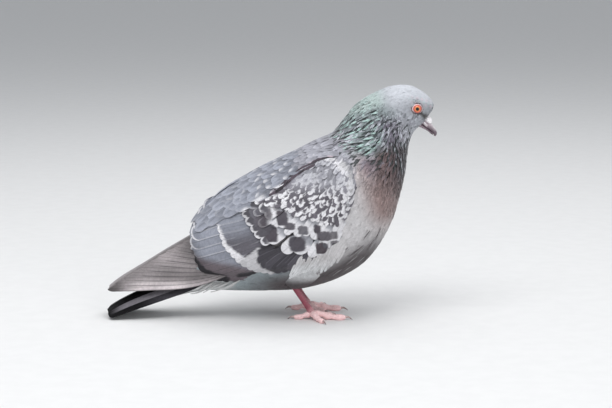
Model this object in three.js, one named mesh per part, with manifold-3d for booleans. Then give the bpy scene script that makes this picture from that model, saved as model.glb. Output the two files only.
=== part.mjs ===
// A life-size feral pigeon (Columba livia domestica) standing on both feet with its wings folded.
// Millimetres. +X is forward, towards the bill, +Y is the bird's left side and +Z is up.
// The points below are measured from the floor under the middle of the bird. At the end the model
// is moved so that its origin is the centre of its footprint box, at floor level.
import * as THREE from "three";
import { mergeVertices } from "three/addons/utils/BufferGeometryUtils.js";
import Module from "manifold-3d";

const wasm = await Module();
wasm.setup();

// ---- Driving dimensions ----
const CUT = 0.35; // gap left at each cut between neighbouring parts
const FLATNESS = 0.12; // how far a face may stray when needless corners are dropped

// Sections of the body from the tail coverts to the face. Each is an oval whose highest and lowest
// points are top and bottom, as [x, z], and which reaches half to each side. A positive lift moves
// its widest part above the middle.
const STATIONS = [
  { name: "ends of the tail coverts", top: [-131, 25], bottom: [-130, 15.5], half: 3, lift: 0 },
  { name: "tail coverts", top: [-119, 34], bottom: [-117, 15.5], half: 9.5, lift: 0.05 },
  { name: "tail root", top: [-104, 47], bottom: [-99, 19.5], half: 15.5, lift: 0.1 },
  { name: "vent", top: [-88, 69], bottom: [-82, 22], half: 24, lift: 0.1 },
  { name: "rump", top: [-67, 92], bottom: [-58, 21.8], half: 34, lift: 0.1 },
  { name: "loin", top: [-43, 114], bottom: [-32, 21.8], half: 42, lift: 0.1 },
  { name: "belly", top: [-20, 133.5], bottom: [-4, 23.5], half: 46.5, lift: 0.1 },
  { name: "keel", top: [-4, 143.5], bottom: [26, 32], half: 48, lift: 0.12 },
  { name: "breast", top: [8, 149.5], bottom: [51, 47.5], half: 46.5, lift: 0.12 },
  { name: "crop", top: [17, 153.8], bottom: [70.5, 76], half: 41, lift: 0.1 },
  { name: "neck base", top: [25, 159.5], bottom: [79.5, 104], half: 34.5, lift: 0.05 },
  { name: "low neck", top: [33, 170], bottom: [84, 125], half: 28.5, lift: 0 },
  { name: "high neck", top: [43, 182.3], bottom: [86, 144], half: 23.5, lift: 0 },
  { name: "nape", top: [56, 191.5], bottom: [91, 157.8], half: 18.6, lift: 0 },
  { name: "crown", top: [73, 198.2], bottom: [97, 163.8], half: 15.6, lift: 0 },
  { name: "brow", top: [89, 198], bottom: [100, 166.2], half: 14.2, lift: 0.02 },
  { name: "forehead", top: [101, 190.8], bottom: [101.8, 169.4], half: 10.4, lift: 0.05 },
  { name: "front", top: [107, 183.4], bottom: [104.4, 173.2], half: 5.6, lift: 0.05 },
  { name: "tip of the face", top: [108, 179.6], bottom: [107.4, 177], half: 1.6, lift: 0 },
];
const SECTION_SIDES = 22;
const TRUNK = { from: 0, to: 9.57, rings: 17 }; // in stations, as are the next two
const NECK = { from: 9.6, to: 12.87, rings: 7 };
const HEAD = { from: 12.9, to: STATIONS.length - 1, rings: 10 };

const EYE = { at: [93.1, 10.6, 178.7], radius: 5 };
const EYELID = { out: 3.3, radius: 3.75, thickness: 1.3 }; // the ring of bare skin round each eye
const BILL_UPPER = {
  line: [[97, 0, 172.6], [102.4, 0, 168.6], [105.8, 0, 164], [108.2, 0, 159], [109.2, 0, 155.2]],
  width: (t) => 7.2 - 5.2 * t ** 1.3,
  depth: (t) => 6 - 2.2 * t - 2.2 * t ** 6,
};
const BILL_LOWER = {
  line: [[94.5, 0, 168.5], [99.4, 0, 165.2], [103.4, 0, 161.2], [106.6, 0, 156.8]],
  width: (t) => 6.6 - 4 * t ** 1.6,
  depth: (t) => 3.2 - 1.6 * t ** 2,
};
const CERE = { at: [103.3, 0, 168.8], radii: [3.5, 3.7, 2.6], turn: 0.9 };

// Edges of the folded right wing from the shoulder to the ends of the tertials, as [x, y, z].
const WING_LOWER = [
  [38.5, -42.5, 113], [34, -48, 97], [25, -49.5, 82], [10, -47, 62], [-12, -44, 49.5],
  [-36, -40, 46], [-60, -34, 42], [-79, -27.5, 42], [-91, -22, 51], [-97, -17, 63],
];
const WING_UPPER = [
  [38.5, -42, 118], [33.5, -38.8, 135], [21, -32, 144.5], [2, -25, 142], [-18, -18, 134.5],
  [-42, -10, 123.5], [-65, -6, 110.2], [-84, -4.5, 94.6], [-96, -5, 81.6], [-101, -8, 69],
];
const WING = { bulge: 19, depth: 4.5, across: 7, along: 13 };

// Edges of the stacked right primaries, from under the secondaries to the wing tip.
const PRIMARY_LOWER = [
  [-56, -29, 44], [-70, -29, 35], [-84, -27, 27.5], [-108, -24, 24.6], [-135, -19.5, 22.9],
  [-160, -14.5, 22.2], [-169.7, -12, 22.2],
];
const PRIMARY_UPPER = [
  [-62, -10, 80], [-78, -7, 79], [-93, -5, 74.3], [-115, -5, 61.8], [-139, -6.5, 46.6],
  [-160, -9, 33.2], [-170.2, -10.8, 24.8],
];
const PRIMARIES = { bulge: 3.5, depth: 1.6, tips: 8, step: 0.1, leftDrop: 0.8 };

const TAIL = {
  root: { x: -80, z: 34, half: 17, crown: 10, depth: 8 },
  tip: { x: -169, z: 4.4, half: 24, crown: 3.2, depth: 1.6 },
  flattening: 5, // the fan stays arched until near its tip
  edgeDrop: 1.3,
  cornerRound: 5,
};

const THIGH = { hip: [10, 21, 62], knee: [-15, 20.5, 30], width: 30, depth: 36, cuff: 7 };
const TARSUS = { ankle: [-13, 20.5, 33], joint: [5, 18.5, 5.8], width: 4.2, depth: 5 };
const FEET = { right: { back: 0, turn: 3 }, left: { back: 3, turn: -9 } }; // mm, and degrees
// Toe 1 points back, 2 is the inner, 3 the middle and 4 the outer toe. Angles are in degrees from
// straight ahead, positive towards the outside of the foot, and reach is from the joint.
const TOES = [
  { number: 1, angle: 176, reach: 15.5, width: 4, claw: 6 },
  { number: 2, angle: -36, reach: 21, width: 4.1, claw: 5.5 },
  { number: 3, angle: 4, reach: 29, width: 4.8, claw: 6.5 },
  { number: 4, angle: 60, reach: 21, width: 4.1, claw: 5.5 },
];

// ---- Materials ----
const paint = (color, roughness) => new THREE.MeshStandardMaterial({ color, roughness, metalness: 0 });
const HEAD_FEATHER = paint(0xa4a7af, 0.8);
const NECK_FEATHER = paint(0x6f8078, 0.5);
const BODY_FEATHER = paint(0x8d8488, 0.8);
const WING_FEATHER = paint(0x77777f, 0.8);
const FLIGHT_FEATHER = paint(0x827a7a, 0.7);
const TAIL_FEATHER = paint(0x5c5c64, 0.7);
const RED_SKIN = paint(0xc4606c, 0.55);
const CLAW_HORN = paint(0x3a3538, 0.4);
const BILL_HORN = paint(0x5a5154, 0.4);
const CERE_SKIN = paint(0xe8e2e2, 0.7);
const EYE_GLOSS = paint(0xd8501e, 0.1);

// ---- Shape tools ----
const LEFT = 1;
const RIGHT = -1;
const lerp = THREE.MathUtils.lerp;
const scaled = (profile, grow) => (t) => profile(t) + 2 * grow;

function smoothCurve(points) {
  return new THREE.CatmullRomCurve3(points.map((p) => new THREE.Vector3(...p)), false, "centripetal");
}

// Points given for the right side with y negative, or for either side with y positive.
const onSide = (points, side) => points.map(([x, y, z]) => [x, Math.abs(y) * side, z]);

// A closed triangle mesh with shared corners, turned so that its faces point out.
function solidFrom(geometry) {
  geometry.deleteAttribute("normal");
  geometry.deleteAttribute("uv");
  const merged = mergeVertices(geometry, 1e-3);
  const vertProperties = merged.attributes.position.array;
  const triVerts = new Uint32Array(merged.index.array);
  const solid = new wasm.Manifold(new wasm.Mesh({ numProp: 3, vertProperties, triVerts }));
  if (solid.volume() > 0) return solid;
  for (let i = 0; i < triVerts.length; i += 3) {
    [triVerts[i + 1], triVerts[i + 2]] = [triVerts[i + 2], triVerts[i + 1]];
  }
  return new wasm.Manifold(new wasm.Mesh({ numProp: 3, vertProperties, triVerts }));
}

function solidOf(points, triangles) {
  const geometry = new THREE.BufferGeometry().setFromPoints(points);
  geometry.setIndex(triangles);
  return solidFrom(geometry);
}

// A closed skin over rings of points that all have the same count. Each end is closed by a fan.
function loft(rings) {
  const sides = rings[0].length;
  const points = rings.flat();
  const triangles = [];
  const next = (k) => (k + 1) % sides;
  for (let r = 0; r + 1 < rings.length; r++) {
    for (let k = 0; k < sides; k++) {
      const a = r * sides + k;
      const b = r * sides + next(k);
      triangles.push(a, b, a + sides, b, b + sides, a + sides);
    }
  }
  for (const [ring, first] of [[0, true], [rings.length - 1, false]]) {
    const middle = new THREE.Vector3();
    for (const point of rings[ring]) middle.addScaledVector(point, 1 / sides);
    const centre = points.push(middle) - 1;
    for (let k = 0; k < sides; k++) {
      const a = ring * sides + k;
      const b = ring * sides + next(k);
      triangles.push(...(first ? [b, a, centre] : [a, b, centre]));
    }
  }
  return solidOf(points, triangles);
}

// A tube of oval section along a line. t runs from 0 to 1 in width(t), across, and depth(t).
function taperedTube(line, width, depth, steps, sides, across = new THREE.Vector3(0, 1, 0)) {
  const curve = smoothCurve(line);
  const rings = [];
  for (let i = 0; i <= steps; i++) {
    const t = i / steps;
    const along = curve.getTangent(t);
    const side = across.clone().addScaledVector(along, -across.dot(along)).normalize();
    const up = new THREE.Vector3().crossVectors(along, side);
    const ring = Array.from({ length: sides }, (_, k) => {
      const angle = (2 * Math.PI * k) / sides;
      const point = curve.getPoint(t);
      point.addScaledVector(side, (Math.sin(angle) * width(t)) / 2);
      return point.addScaledVector(up, (Math.cos(angle) * depth(t)) / 2);
    });
    rings.push(ring);
  }
  return loft(rings);
}

// A closed plate whose outer face is outer(u, v), with depth(u, v) of thickness behind it.
function plate(outer, depth, side, across, along) {
  const outerFace = [];
  const innerFace = [];
  const NUDGE = 1e-3;
  for (let j = 0; j <= along; j++) {
    for (let i = 0; i <= across; i++) {
      const u = j / along;
      const v = i / across;
      const du = outer(Math.min(u + NUDGE, 1), v).sub(outer(Math.max(u - NUDGE, 0), v));
      const dv = outer(u, Math.min(v + NUDGE, 1)).sub(outer(u, Math.max(v - NUDGE, 0)));
      const normal = du.cross(dv).normalize();
      outerFace.push(outer(u, v));
      innerFace.push(outer(u, v).addScaledVector(normal, -depth(u, v) * side));
    }
  }
  const row = across + 1;
  const inner = outerFace.length;
  const triangles = [];
  const quad = (a, b, c, d) => triangles.push(a, b, c, a, c, d);
  for (let j = 0; j < along; j++) {
    for (let i = 0; i < across; i++) {
      const a = j * row + i;
      quad(a, a + row, a + row + 1, a + 1);
      quad(inner + a, inner + a + 1, inner + a + row + 1, inner + a + row);
    }
    const first = j * row;
    const last = first + across;
    quad(first, inner + first, inner + first + row, first + row);
    quad(last, last + row, inner + last + row, inner + last);
  }
  for (let i = 0; i < across; i++) {
    const end = along * row + i;
    quad(i, i + 1, inner + i + 1, inner + i);
    quad(end, inner + end, inner + end + 1, end + 1);
  }
  return solidOf([...outerFace, ...innerFace], triangles);
}

// The sheet between a lower and an upper edge, swelled outwards by bulge(u) along its middle.
function sheetBetween(lowerEdge, upperEdge, bulge) {
  const lower = smoothCurve(lowerEdge);
  const upper = smoothCurve(upperEdge);
  return (u, v) => {
    const low = lower.getPoint(u);
    const high = upper.getPoint(u);
    const ahead = lower.getTangent(u).add(upper.getTangent(u));
    const out = high.clone().sub(low).cross(ahead).normalize();
    if (out.y * low.y < 0) out.negate();
    return low.lerp(high, v).addScaledVector(out, bulge(u) * 4 * v * (1 - v));
  };
}

function ellipsoid(centre, radii, turn, segments) {
  const ball = new THREE.SphereGeometry(1, segments, Math.round(segments * 0.6));
  ball.scale(...radii).rotateX(Math.PI / 2).rotateY(turn).translate(...centre);
  return solidFrom(ball);
}

// Subtracts the tools and keeps the largest body, which drops the slivers that a cut can leave.
function cutBy(solid, ...tools) {
  const pieces = tools.reduce((left, tool) => left.subtract(tool), solid).decompose();
  return pieces.reduce((best, piece) => (piece.volume() > best.volume() ? piece : best));
}

const FAR = 400;
const aboveFloor = solidFrom(new THREE.BoxGeometry(FAR, FAR, FAR).translate(0, 0, FAR / 2));

// ---- Trunk, neck and head ----
const topLine = smoothCurve(STATIONS.map(({ top }) => [top[0], 0, top[1]]));
const bottomLine = smoothCurve(STATIONS.map(({ bottom }) => [bottom[0], 0, bottom[1]]));
const halfLine = smoothCurve(STATIONS.map(({ half }, i) => [i * 10, half, 0]));
const liftLine = smoothCurve(STATIONS.map(({ lift }, i) => [i * 10, lift * 10, 0]));

function bodySection(station, grow) {
  const t = station / (STATIONS.length - 1);
  const high = topLine.getPoint(t);
  const low = bottomLine.getPoint(t);
  const half = halfLine.getPoint(t).y + grow;
  const lift = liftLine.getPoint(t).y / 10;
  const centre = high.clone().add(low).multiplyScalar(0.5);
  const up = high.clone().sub(centre);
  up.setLength(up.length() + grow);
  return Array.from({ length: SECTION_SIDES }, (_, k) => {
    const angle = (2 * Math.PI * k) / SECTION_SIDES;
    const point = centre.clone().addScaledVector(up, Math.cos(angle));
    point.y = half * Math.sin(angle) * (1 + lift * Math.cos(angle));
    return point;
  });
}

function bodyPart({ from, to, rings }, grow = 0) {
  const step = (to - from) / rings;
  return loft(Array.from({ length: rings + 1 }, (_, i) => bodySection(from + i * step, grow)));
}

const upperBill = (grow = 0) =>
  taperedTube(BILL_UPPER.line, scaled(BILL_UPPER.width, grow), scaled(BILL_UPPER.depth, grow), 9, 10);
const lowerBill = (grow = 0) =>
  taperedTube(BILL_LOWER.line, scaled(BILL_LOWER.width, grow), scaled(BILL_LOWER.depth, grow), 6, 10);
const cere = (grow = 0) => ellipsoid(CERE.at, CERE.radii.map((r) => r + grow), CERE.turn, 14);

function eye(side, grow = 0) {
  const [x, y, z] = EYE.at;
  return ellipsoid([x, y * side, z], Array(3).fill(EYE.radius + grow), 0, 12);
}

function eyelid(side) {
  const [x, y, z] = EYE.at;
  const ring = new THREE.TorusGeometry(EYELID.radius, EYELID.thickness / 2, 6, 14);
  return solidFrom(ring.rotateX(Math.PI / 2).translate(x, side * (y + EYELID.out), z));
}

// The hollow in the head that holds an eye and its lid.
function eyeSocket(side) {
  const [x, y, z] = EYE.at;
  const height = 8;
  const bed = y + EYELID.out - EYELID.thickness / 2 - CUT;
  const radius = EYELID.radius + EYELID.thickness / 2 + 1.5 * CUT;
  const well = new THREE.CylinderGeometry(radius, radius, height, 14);
  return solidFrom(well.translate(x, side * (bed + height / 2), z)).add(eye(side, CUT));
}

// ---- Legs ----
function thigh(side, grow = 0) {
  const swell = (t) => Math.sqrt(Math.sin(Math.PI * Math.min(1, 0.12 + 0.88 * t))) * (1 - 0.25 * t);
  const girth = (full) => (t) => THIGH.cuff + (full - THIGH.cuff) * swell(t);
  const line = onSide([THIGH.hip, THIGH.knee], side);
  return taperedTube(line, scaled(girth(THIGH.width), grow), scaled(girth(THIGH.depth), grow), 7, 12);
}

const footOf = (side) => (side === RIGHT ? FEET.right : FEET.left);

// The bare shank, thicker at the ankle and at the joint of the toes.
function tarsus(side, grow = 0) {
  const line = onSide([TARSUS.ankle, TARSUS.joint], side).map(([x, y, z]) => [x - footOf(side).back, y, z]);
  const knuckle = (t) => 1 + 1.8 * Math.max(0, t - 0.75) + Math.max(0, 0.2 - t);
  const width = (t) => TARSUS.width * knuckle(t);
  const depth = (t) => TARSUS.depth * knuckle(t);
  return taperedTube(line, scaled(width, grow), scaled(depth, grow), 6, 12);
}

// Points along a toe or its claw from [reach, height] pairs, and the direction across it.
function toeLine(toe, side, profile) {
  const foot = footOf(side);
  const turn = THREE.MathUtils.degToRad(toe.angle + foot.turn);
  const ahead = [Math.cos(turn), Math.sin(turn) * side];
  const [x, y] = TARSUS.joint;
  const at = (reach, z) => [x - foot.back + ahead[0] * reach, y * side + ahead[1] * reach, z];
  const line = profile.map(([reach, z]) => at(reach, z));
  return { line, across: new THREE.Vector3(-ahead[1], ahead[0], 0) };
}

// A toe leaves the joint, arches a little and comes down flat on its pads.
function toeSolid(toe, side, grow = 0) {
  const { reach } = toe;
  const half = toe.width / 2;
  const root = [0.5, TARSUS.joint[2] - 0.6];
  const arch = [root, [reach * 0.3, half + 1.3], [reach * 0.62, half * 0.86], [reach, half * 0.74]];
  const { line, across } = toeLine(toe, side, arch);
  const pads = (t) => 1 + 0.09 * Math.cos(t * Math.PI * 6);
  const girth = (taper) => (t) => toe.width * (1 - taper * t) * pads(t);
  const width = scaled(girth(0.22), grow);
  const depth = scaled(girth(0.16), grow);
  return taperedTube(line, width, depth, 8, 7, across).intersect(aboveFloor);
}

function clawSolid(toe, side) {
  const { reach, claw } = toe;
  const half = toe.width / 2;
  const hook = [[reach + 0.2, half * 0.9], [reach + claw * 0.5, half], [reach + claw, 0.4]];
  const { line, across } = toeLine(toe, side, hook);
  const girth = (root) => (t) => root * (1 - 0.75 * t);
  return taperedTube(line, girth(2.1), girth(2.3), 4, 6, across).intersect(aboveFloor);
}

// ---- Folded wings and tail ----
function wing(side, grow = 0) {
  const bulge = (u) => WING.bulge * Math.sin(Math.PI * (0.01 + 0.95 * u)) ** 0.8 + grow;
  const outer = sheetBetween(onSide(WING_LOWER, side), onSide(WING_UPPER, side), bulge);
  const towardsEdge = (v) => 0.35 + 0.65 * Math.sqrt(Math.sin(Math.PI * v));
  const depth = (u, v) => WING.depth * towardsEdge(v) * (1 - 0.6 * u ** 3) + 2 * grow;
  return plate(outer, depth, side, WING.across, WING.along);
}

// Each primary's tip stands out beyond the next one's edge, so the upper edge falls in steps.
function primaries(side) {
  const drop = side === LEFT ? PRIMARIES.leftDrop : 0;
  const edge = (points) => onSide(points, side).map(([x, y, z]) => [x, y, z - drop]);
  const bulge = (u) => PRIMARIES.bulge * (1 - 0.7 * u);
  const sheet = sheetBetween(edge(PRIMARY_LOWER), edge(PRIMARY_UPPER), bulge);
  const stepped = (u) => 1 - PRIMARIES.step * (1 - u) * (1 - ((u * PRIMARIES.tips) % 1)) ** 1.5;
  const outer = (u, v) => sheet(u, v * stepped(u));
  const depth = (u) => PRIMARIES.depth * (1 - 0.45 * u);
  return plate(outer, depth, side, 4, PRIMARIES.tips * 2);
}

// A closed fan, arched across and widest near the tip, where its corners are rounded.
function tail() {
  const { root, tip } = TAIL;
  const outer = (u, v) => {
    const across = 2 * v - 1;
    const x = lerp(root.x, tip.x + TAIL.cornerRound * across ** 4, u);
    const arch = lerp(root.crown, tip.crown, u ** TAIL.flattening) * (1 - across ** 2);
    const y = across * lerp(root.half, tip.half, u ** 0.7);
    return new THREE.Vector3(x, y, lerp(root.z, tip.z, u) + arch - TAIL.edgeDrop);
  };
  const depth = (u, v) => lerp(root.depth, tip.depth, u) * (1 - 0.6 * (2 * v - 1) ** 2);
  return plate(outer, depth, LEFT, 6, 8).intersect(aboveFloor);
}

// ---- The bird ----
const bird = new THREE.Group();

function add(name, material, solid) {
  const { numProp, numVert, vertProperties, triVerts } = solid.simplify(FLATNESS).getMesh();
  const position = new Float32Array(numVert * 3);
  for (let i = 0; i < numVert; i++) {
    position.set(vertProperties.subarray(i * numProp, i * numProp + 3), i * 3);
  }
  const geometry = new THREE.BufferGeometry();
  geometry.setAttribute("position", new THREE.BufferAttribute(position, 3));
  geometry.setIndex(new THREE.BufferAttribute(triVerts, 1));
  const mesh = new THREE.Mesh(geometry, material);
  mesh.name = name;
  bird.add(mesh);
}

const SIDES = [["right", RIGHT], ["left", LEFT]];
const bothSides = (make) => SIDES.map(([, side]) => make(side));
const trunkClear = bodyPart({ from: TRUNK.from, to: NECK.from + 1, rings: 22 }, CUT);
const neckClear = bodyPart({ from: NECK.from - 1, to: HEAD.from, rings: 8 }, CUT);

const headTools = [...bothSides(eyeSocket), upperBill(CUT), lowerBill(CUT), cere(CUT)];
const legTools = bothSides((side) => thigh(side, CUT / 2).add(tarsus(side, CUT / 2)));
add("head", HEAD_FEATHER, cutBy(bodyPart(HEAD), ...headTools));
add("neck", NECK_FEATHER, bodyPart(NECK));
add("trunk", BODY_FEATHER, cutBy(bodyPart(TRUNK), ...legTools));
add("tail", TAIL_FEATHER, cutBy(tail(), trunkClear));
add("bill_upper", BILL_HORN, cutBy(upperBill(), cere(CUT)));
add("bill_lower", BILL_HORN, cutBy(lowerBill(), upperBill(CUT)));
add("cere", CERE_SKIN, cere());

for (const [name, side] of SIDES) {
  add(`eye_${name}`, EYE_GLOSS, eye(side));
  add(`eyelid_${name}`, RED_SKIN, cutBy(eyelid(side), eye(side, CUT)));
  add(`wing_${name}`, WING_FEATHER, cutBy(wing(side), trunkClear, neckClear, thigh(side, CUT)));
  add(`primaries_${name}`, FLIGHT_FEATHER, cutBy(primaries(side), wing(side, CUT), trunkClear));
  add(`thigh_${name}`, BODY_FEATHER, cutBy(thigh(side), tarsus(side, CUT)));
  add(`tarsus_${name}`, RED_SKIN, tarsus(side));
  TOES.forEach((toe, i) => {
    const neighbours = TOES.slice(0, i).map((earlier) => toeSolid(earlier, side, CUT));
    add(`toe_${toe.number}_${name}`, RED_SKIN, cutBy(toeSolid(toe, side), tarsus(side, CUT), ...neighbours));
    add(`claw_${toe.number}_${name}`, CLAW_HORN, cutBy(clawSolid(toe, side), toeSolid(toe, side, CUT)));
  });
}

const box = new THREE.Box3().setFromObject(bird);
const centre = box.getCenter(new THREE.Vector3());
for (const mesh of bird.children) mesh.geometry.translate(-centre.x, -centre.y, -box.min.z);

export default bird;
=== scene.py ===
"""The looks of a standing feral pigeon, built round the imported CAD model.

Shapes are worked out in millimetres in the CAD script's own axes (x towards the bill, z up from the floor)
and moved into the frame at the end. One skin stands for head, neck, trunk and thighs, and every feather is
a thin closed vane that lies on it or on the folded wing.
"""
import itertools
import math
import bpy
import numpy as np
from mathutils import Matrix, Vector
from mathutils.bvhtree import BVHTree


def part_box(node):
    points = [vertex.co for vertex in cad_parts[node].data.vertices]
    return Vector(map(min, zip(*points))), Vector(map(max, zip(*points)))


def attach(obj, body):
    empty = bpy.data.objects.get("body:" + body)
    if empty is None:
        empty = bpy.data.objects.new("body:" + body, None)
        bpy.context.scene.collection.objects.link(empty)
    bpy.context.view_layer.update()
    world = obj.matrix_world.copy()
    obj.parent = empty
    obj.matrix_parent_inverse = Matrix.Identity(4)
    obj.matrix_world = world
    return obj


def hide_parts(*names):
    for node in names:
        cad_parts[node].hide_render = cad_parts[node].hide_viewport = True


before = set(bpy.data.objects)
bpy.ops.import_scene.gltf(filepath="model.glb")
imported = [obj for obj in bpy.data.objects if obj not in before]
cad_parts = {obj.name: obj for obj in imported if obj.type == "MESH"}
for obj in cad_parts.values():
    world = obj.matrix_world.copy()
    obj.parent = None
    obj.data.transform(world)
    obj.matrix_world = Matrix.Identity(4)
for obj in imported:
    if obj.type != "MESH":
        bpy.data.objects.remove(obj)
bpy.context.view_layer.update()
rng = np.random.default_rng(11)
TAU = 2 * math.pi
SIDES = (("right", -1.0), ("left", 1.0))

# ---- The bird's measures, as the CAD script has them ----
STATIONS = [  # top (x, z), bottom (x, z), half width, lift of the widest point
    ((-131, 25), (-130, 15.5), 3, 0),
    ((-119, 34), (-117, 15.5), 9.5, 0.05),
    ((-104, 47), (-99, 19.5), 15.5, 0.1),
    ((-88, 69), (-82, 22), 24, 0.1),
    ((-67, 92), (-58, 21.8), 34, 0.1),
    ((-43, 114), (-32, 21.8), 42, 0.1),
    ((-20, 133.5), (-4, 23.5), 46.5, 0.1),
    ((-4, 143.5), (26, 32), 48, 0.12),
    ((8, 149.5), (51, 47.5), 46.5, 0.12),
    ((17, 153.8), (70.5, 76), 41, 0.1),
    ((25, 159.5), (79.5, 104), 34.5, 0.05),
    ((33, 170), (84, 125), 28.5, 0),
    ((43, 182.3), (86, 144), 23.5, 0),
    ((56, 191.5), (91, 157.8), 18.6, 0),
    ((73, 198.2), (97, 163.8), 15.6, 0),
    ((89, 198), (100, 166.2), 14.2, 0.02),
    ((101, 190.8), (101.8, 169.4), 10.4, 0.05),
    ((107, 183.4), (104.4, 173.2), 5.6, 0.05),
    ((108, 179.6), (107.4, 177), 1.6, 0),
]
LAST = len(STATIONS) - 1
EYE = np.array([93.1, 10.6, 178.7])
EYE_RADIUS = 5.0
LID_RADIUS = 3.75
LID_OUT = 3.3
CULMEN = [(101.4, 171.4), (104.6, 167.6), (106.4, 164.8), (108.1, 162.3), (109.7, 159.9), (110.6, 157.4),
          (110.3, 155.1), (108.6, 153.5)]
GAPE = [(96.2, 165.2), (99.7, 162.6), (104.5, 159.4), (107.6, 156.4), (108.3, 153.9)]
LOWER_GAPE = [(96.1, 164.6), (99.5, 162), (104.2, 158.8), (107, 155.7)]
CHIN = [(95.2, 162.2), (98.7, 160.5), (102.3, 158.4), (105.3, 155.4), (106.8, 153.9)]
WING_LOWER = [
    (38.5, 42.5, 113), (34, 48, 97), (25, 49.5, 82), (10, 47, 62), (-12, 44, 49.5),
    (-36, 40, 46), (-60, 34, 42), (-79, 27.5, 42), (-91, 22, 51), (-97, 17, 63),
]
WING_UPPER = [
    (38.5, 42, 118), (33.5, 38.8, 135), (21, 32, 144.5), (2, 25, 142), (-18, 18, 134.5),
    (-42, 10, 123.5), (-65, 6, 110.2), (-84, 4.5, 94.6), (-96, 5, 81.6), (-101, 8, 69),
]
PRIMARY_LOWER = [
    (-56, 29, 44), (-70, 29, 35), (-84, 27, 27.5), (-108, 24, 24.6), (-135, 19.5, 22.9),
    (-160, 14.5, 22.2), (-169.7, 12, 22.2),
]
PRIMARY_UPPER = [
    (-62, 10, 80), (-78, 7, 79), (-93, 5, 74.3), (-115, 5, 61.8), (-139, 6.5, 46.6),
    (-160, 9, 33.2), (-170.2, 10.8, 24.8),
]
HEAD_DROP = 1.3  # how far the feathers of the crown lie under the CAD's outline of the head
LEFT_DROP = 2.2  # how far the left primaries hang below the right ones
HIP = (10, 21, 62)
KNEE = (-15, 20.5, 30)
ANKLE = (-13, 20.5, 33)
FOOT_JOINT = (5, 18.5, 5.8)
FEET = {"right": (0.0, 3.0), "left": (3.0, -9.0)}  # how far back in mm, and turn in degrees
# Each toe's direction in degrees, reach, width and claw length.
TOES = {1: (176, 15.5, 4, 6), 2: (-36, 21, 4.1, 5.5), 3: (4, 29, 4.8, 6.5), 4: (60, 21, 4.1, 5.5)}


def smooth(low, high, x):
    """0 below low, 1 above high, and a smooth step between."""
    t = np.clip((np.asarray(x, float) - low) / (high - low), 0, 1)
    return t * t * (3 - 2 * t)


def bump(centre, spread, x):
    return np.exp(-(((np.asarray(x, float) - centre) / spread) ** 2))


class Curve:
    """The centripetal Catmull-Rom curve that the CAD uses. It runs on straight outside 0 to 1."""

    def __init__(self, points):
        p = np.asarray(points, float)
        self.points = np.vstack([2 * p[0] - p[1], p, 2 * p[-1] - p[-2]])
        self.steps = np.linalg.norm(np.diff(self.points, axis=0), axis=1) ** 0.5
        self.count = len(p) - 1

    def inside(self, t):
        t = np.asarray(t, float) * self.count
        i = np.clip(np.floor(t).astype(int), 0, self.count - 1)
        w = (t - i)[..., None]
        a, b, c, d = (self.points[i + k] for k in range(4))
        before, here, after = (self.steps[i + k][..., None] for k in range(3))
        start = ((b - a) / before - (c - a) / (before + here) + (c - b) / here) * here
        end = ((c - b) / here - (d - b) / (here + after) + (d - c) / after) * here
        bend = 3 * (c - b) - 2 * start - end
        return b + start * w + bend * w ** 2 + (2 * (b - c) + start + end) * w ** 3

    def __call__(self, t):
        t = np.asarray(t, float)
        held = np.clip(t, 0, 1)
        return self.inside(held) + self.tangent(held) * (t - held)[..., None]

    def tangent(self, t):
        t = np.clip(np.asarray(t, float), 1e-3, 1 - 1e-3)
        return (self.inside(t + 1e-3) - self.inside(t - 1e-3)) / 2e-3


TOP = Curve([s[0] for s in STATIONS])
BOTTOM = Curve([s[1] for s in STATIONS])
HALF = Curve([(10 * i, s[2]) for i, s in enumerate(STATIONS)])
LIFT = Curve([(10 * i, 10 * s[3]) for i, s in enumerate(STATIONS)])


def body(station, turn):
    """The outline of the plumage. turn is 0 at the top and a quarter turn on the left."""
    t = np.asarray(station, float) / LAST
    high = TOP(t)
    low = BOTTOM(t)
    half = HALF(t)[..., 1]
    lift = LIFT(t)[..., 1] / 10
    centre = (high + low) / 2
    up = high - centre
    cosine = np.cos(turn)
    x = centre[..., 0] + up[..., 0] * cosine
    z = centre[..., 1] + up[..., 1] * cosine
    front = smooth(15.0, 17.6, station)
    z = z - HEAD_DROP * smooth(11.5, 13.2, station) * (1 - 0.85 * front) * smooth(0.0, 0.8, cosine)
    y = half * np.sin(turn) * (1 + lift * cosine)
    return np.stack([x, y, z], -1)


def thigh_line(side):
    """The middle of a thigh, from hip to knee."""
    return Curve([(HIP[0], HIP[1] * side, HIP[2]), (KNEE[0], KNEE[1] * side, KNEE[2])])


def thigh(side):
    """The outline of a feathered thigh, from hip to knee."""
    line = thigh_line(side)
    along = line.tangent(0.5)
    along = along / np.linalg.norm(along)
    across = np.array([0, 1.0, 0]) - along * along[1]
    across /= np.linalg.norm(across)
    up = np.cross(along, across)

    def surface(t, turn):
        t = np.asarray(t, float)
        swell = np.sqrt(np.sin(math.pi * np.clip(0.12 + 0.88 * t, 0, 1)).clip(0)) * (1 - 0.25 * t)
        wide = (7 + 23 * swell) / 2
        deep = (7 + 29 * swell) / 2
        point = line(t)
        point = point + across * (np.sin(turn) * wide)[..., None]
        return point + up * (np.cos(turn) * deep)[..., None]

    return surface


def frame_of(surface, a, b):
    """Both derivatives of the surface and its outward normal, at many places at once."""
    step = 1e-3
    along = (surface(a + step, b) - surface(a - step, b)) / (2 * step)
    around = (surface(a, b + step) - surface(a, b - step)) / (2 * step)
    normal = np.cross(along, around)
    normal /= np.linalg.norm(normal, axis=-1, keepdims=True) + 1e-12
    return along, around, normal


# ---- Into the frame ----
eye_low, eye_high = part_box("eye_right")
SHIFT = np.array([(eye_low[0] + eye_high[0]) / 2 * 1000 - EYE[0], 0, 0])


def metres(points):
    return (np.asarray(points, float) + SHIFT) * 0.001


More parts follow.
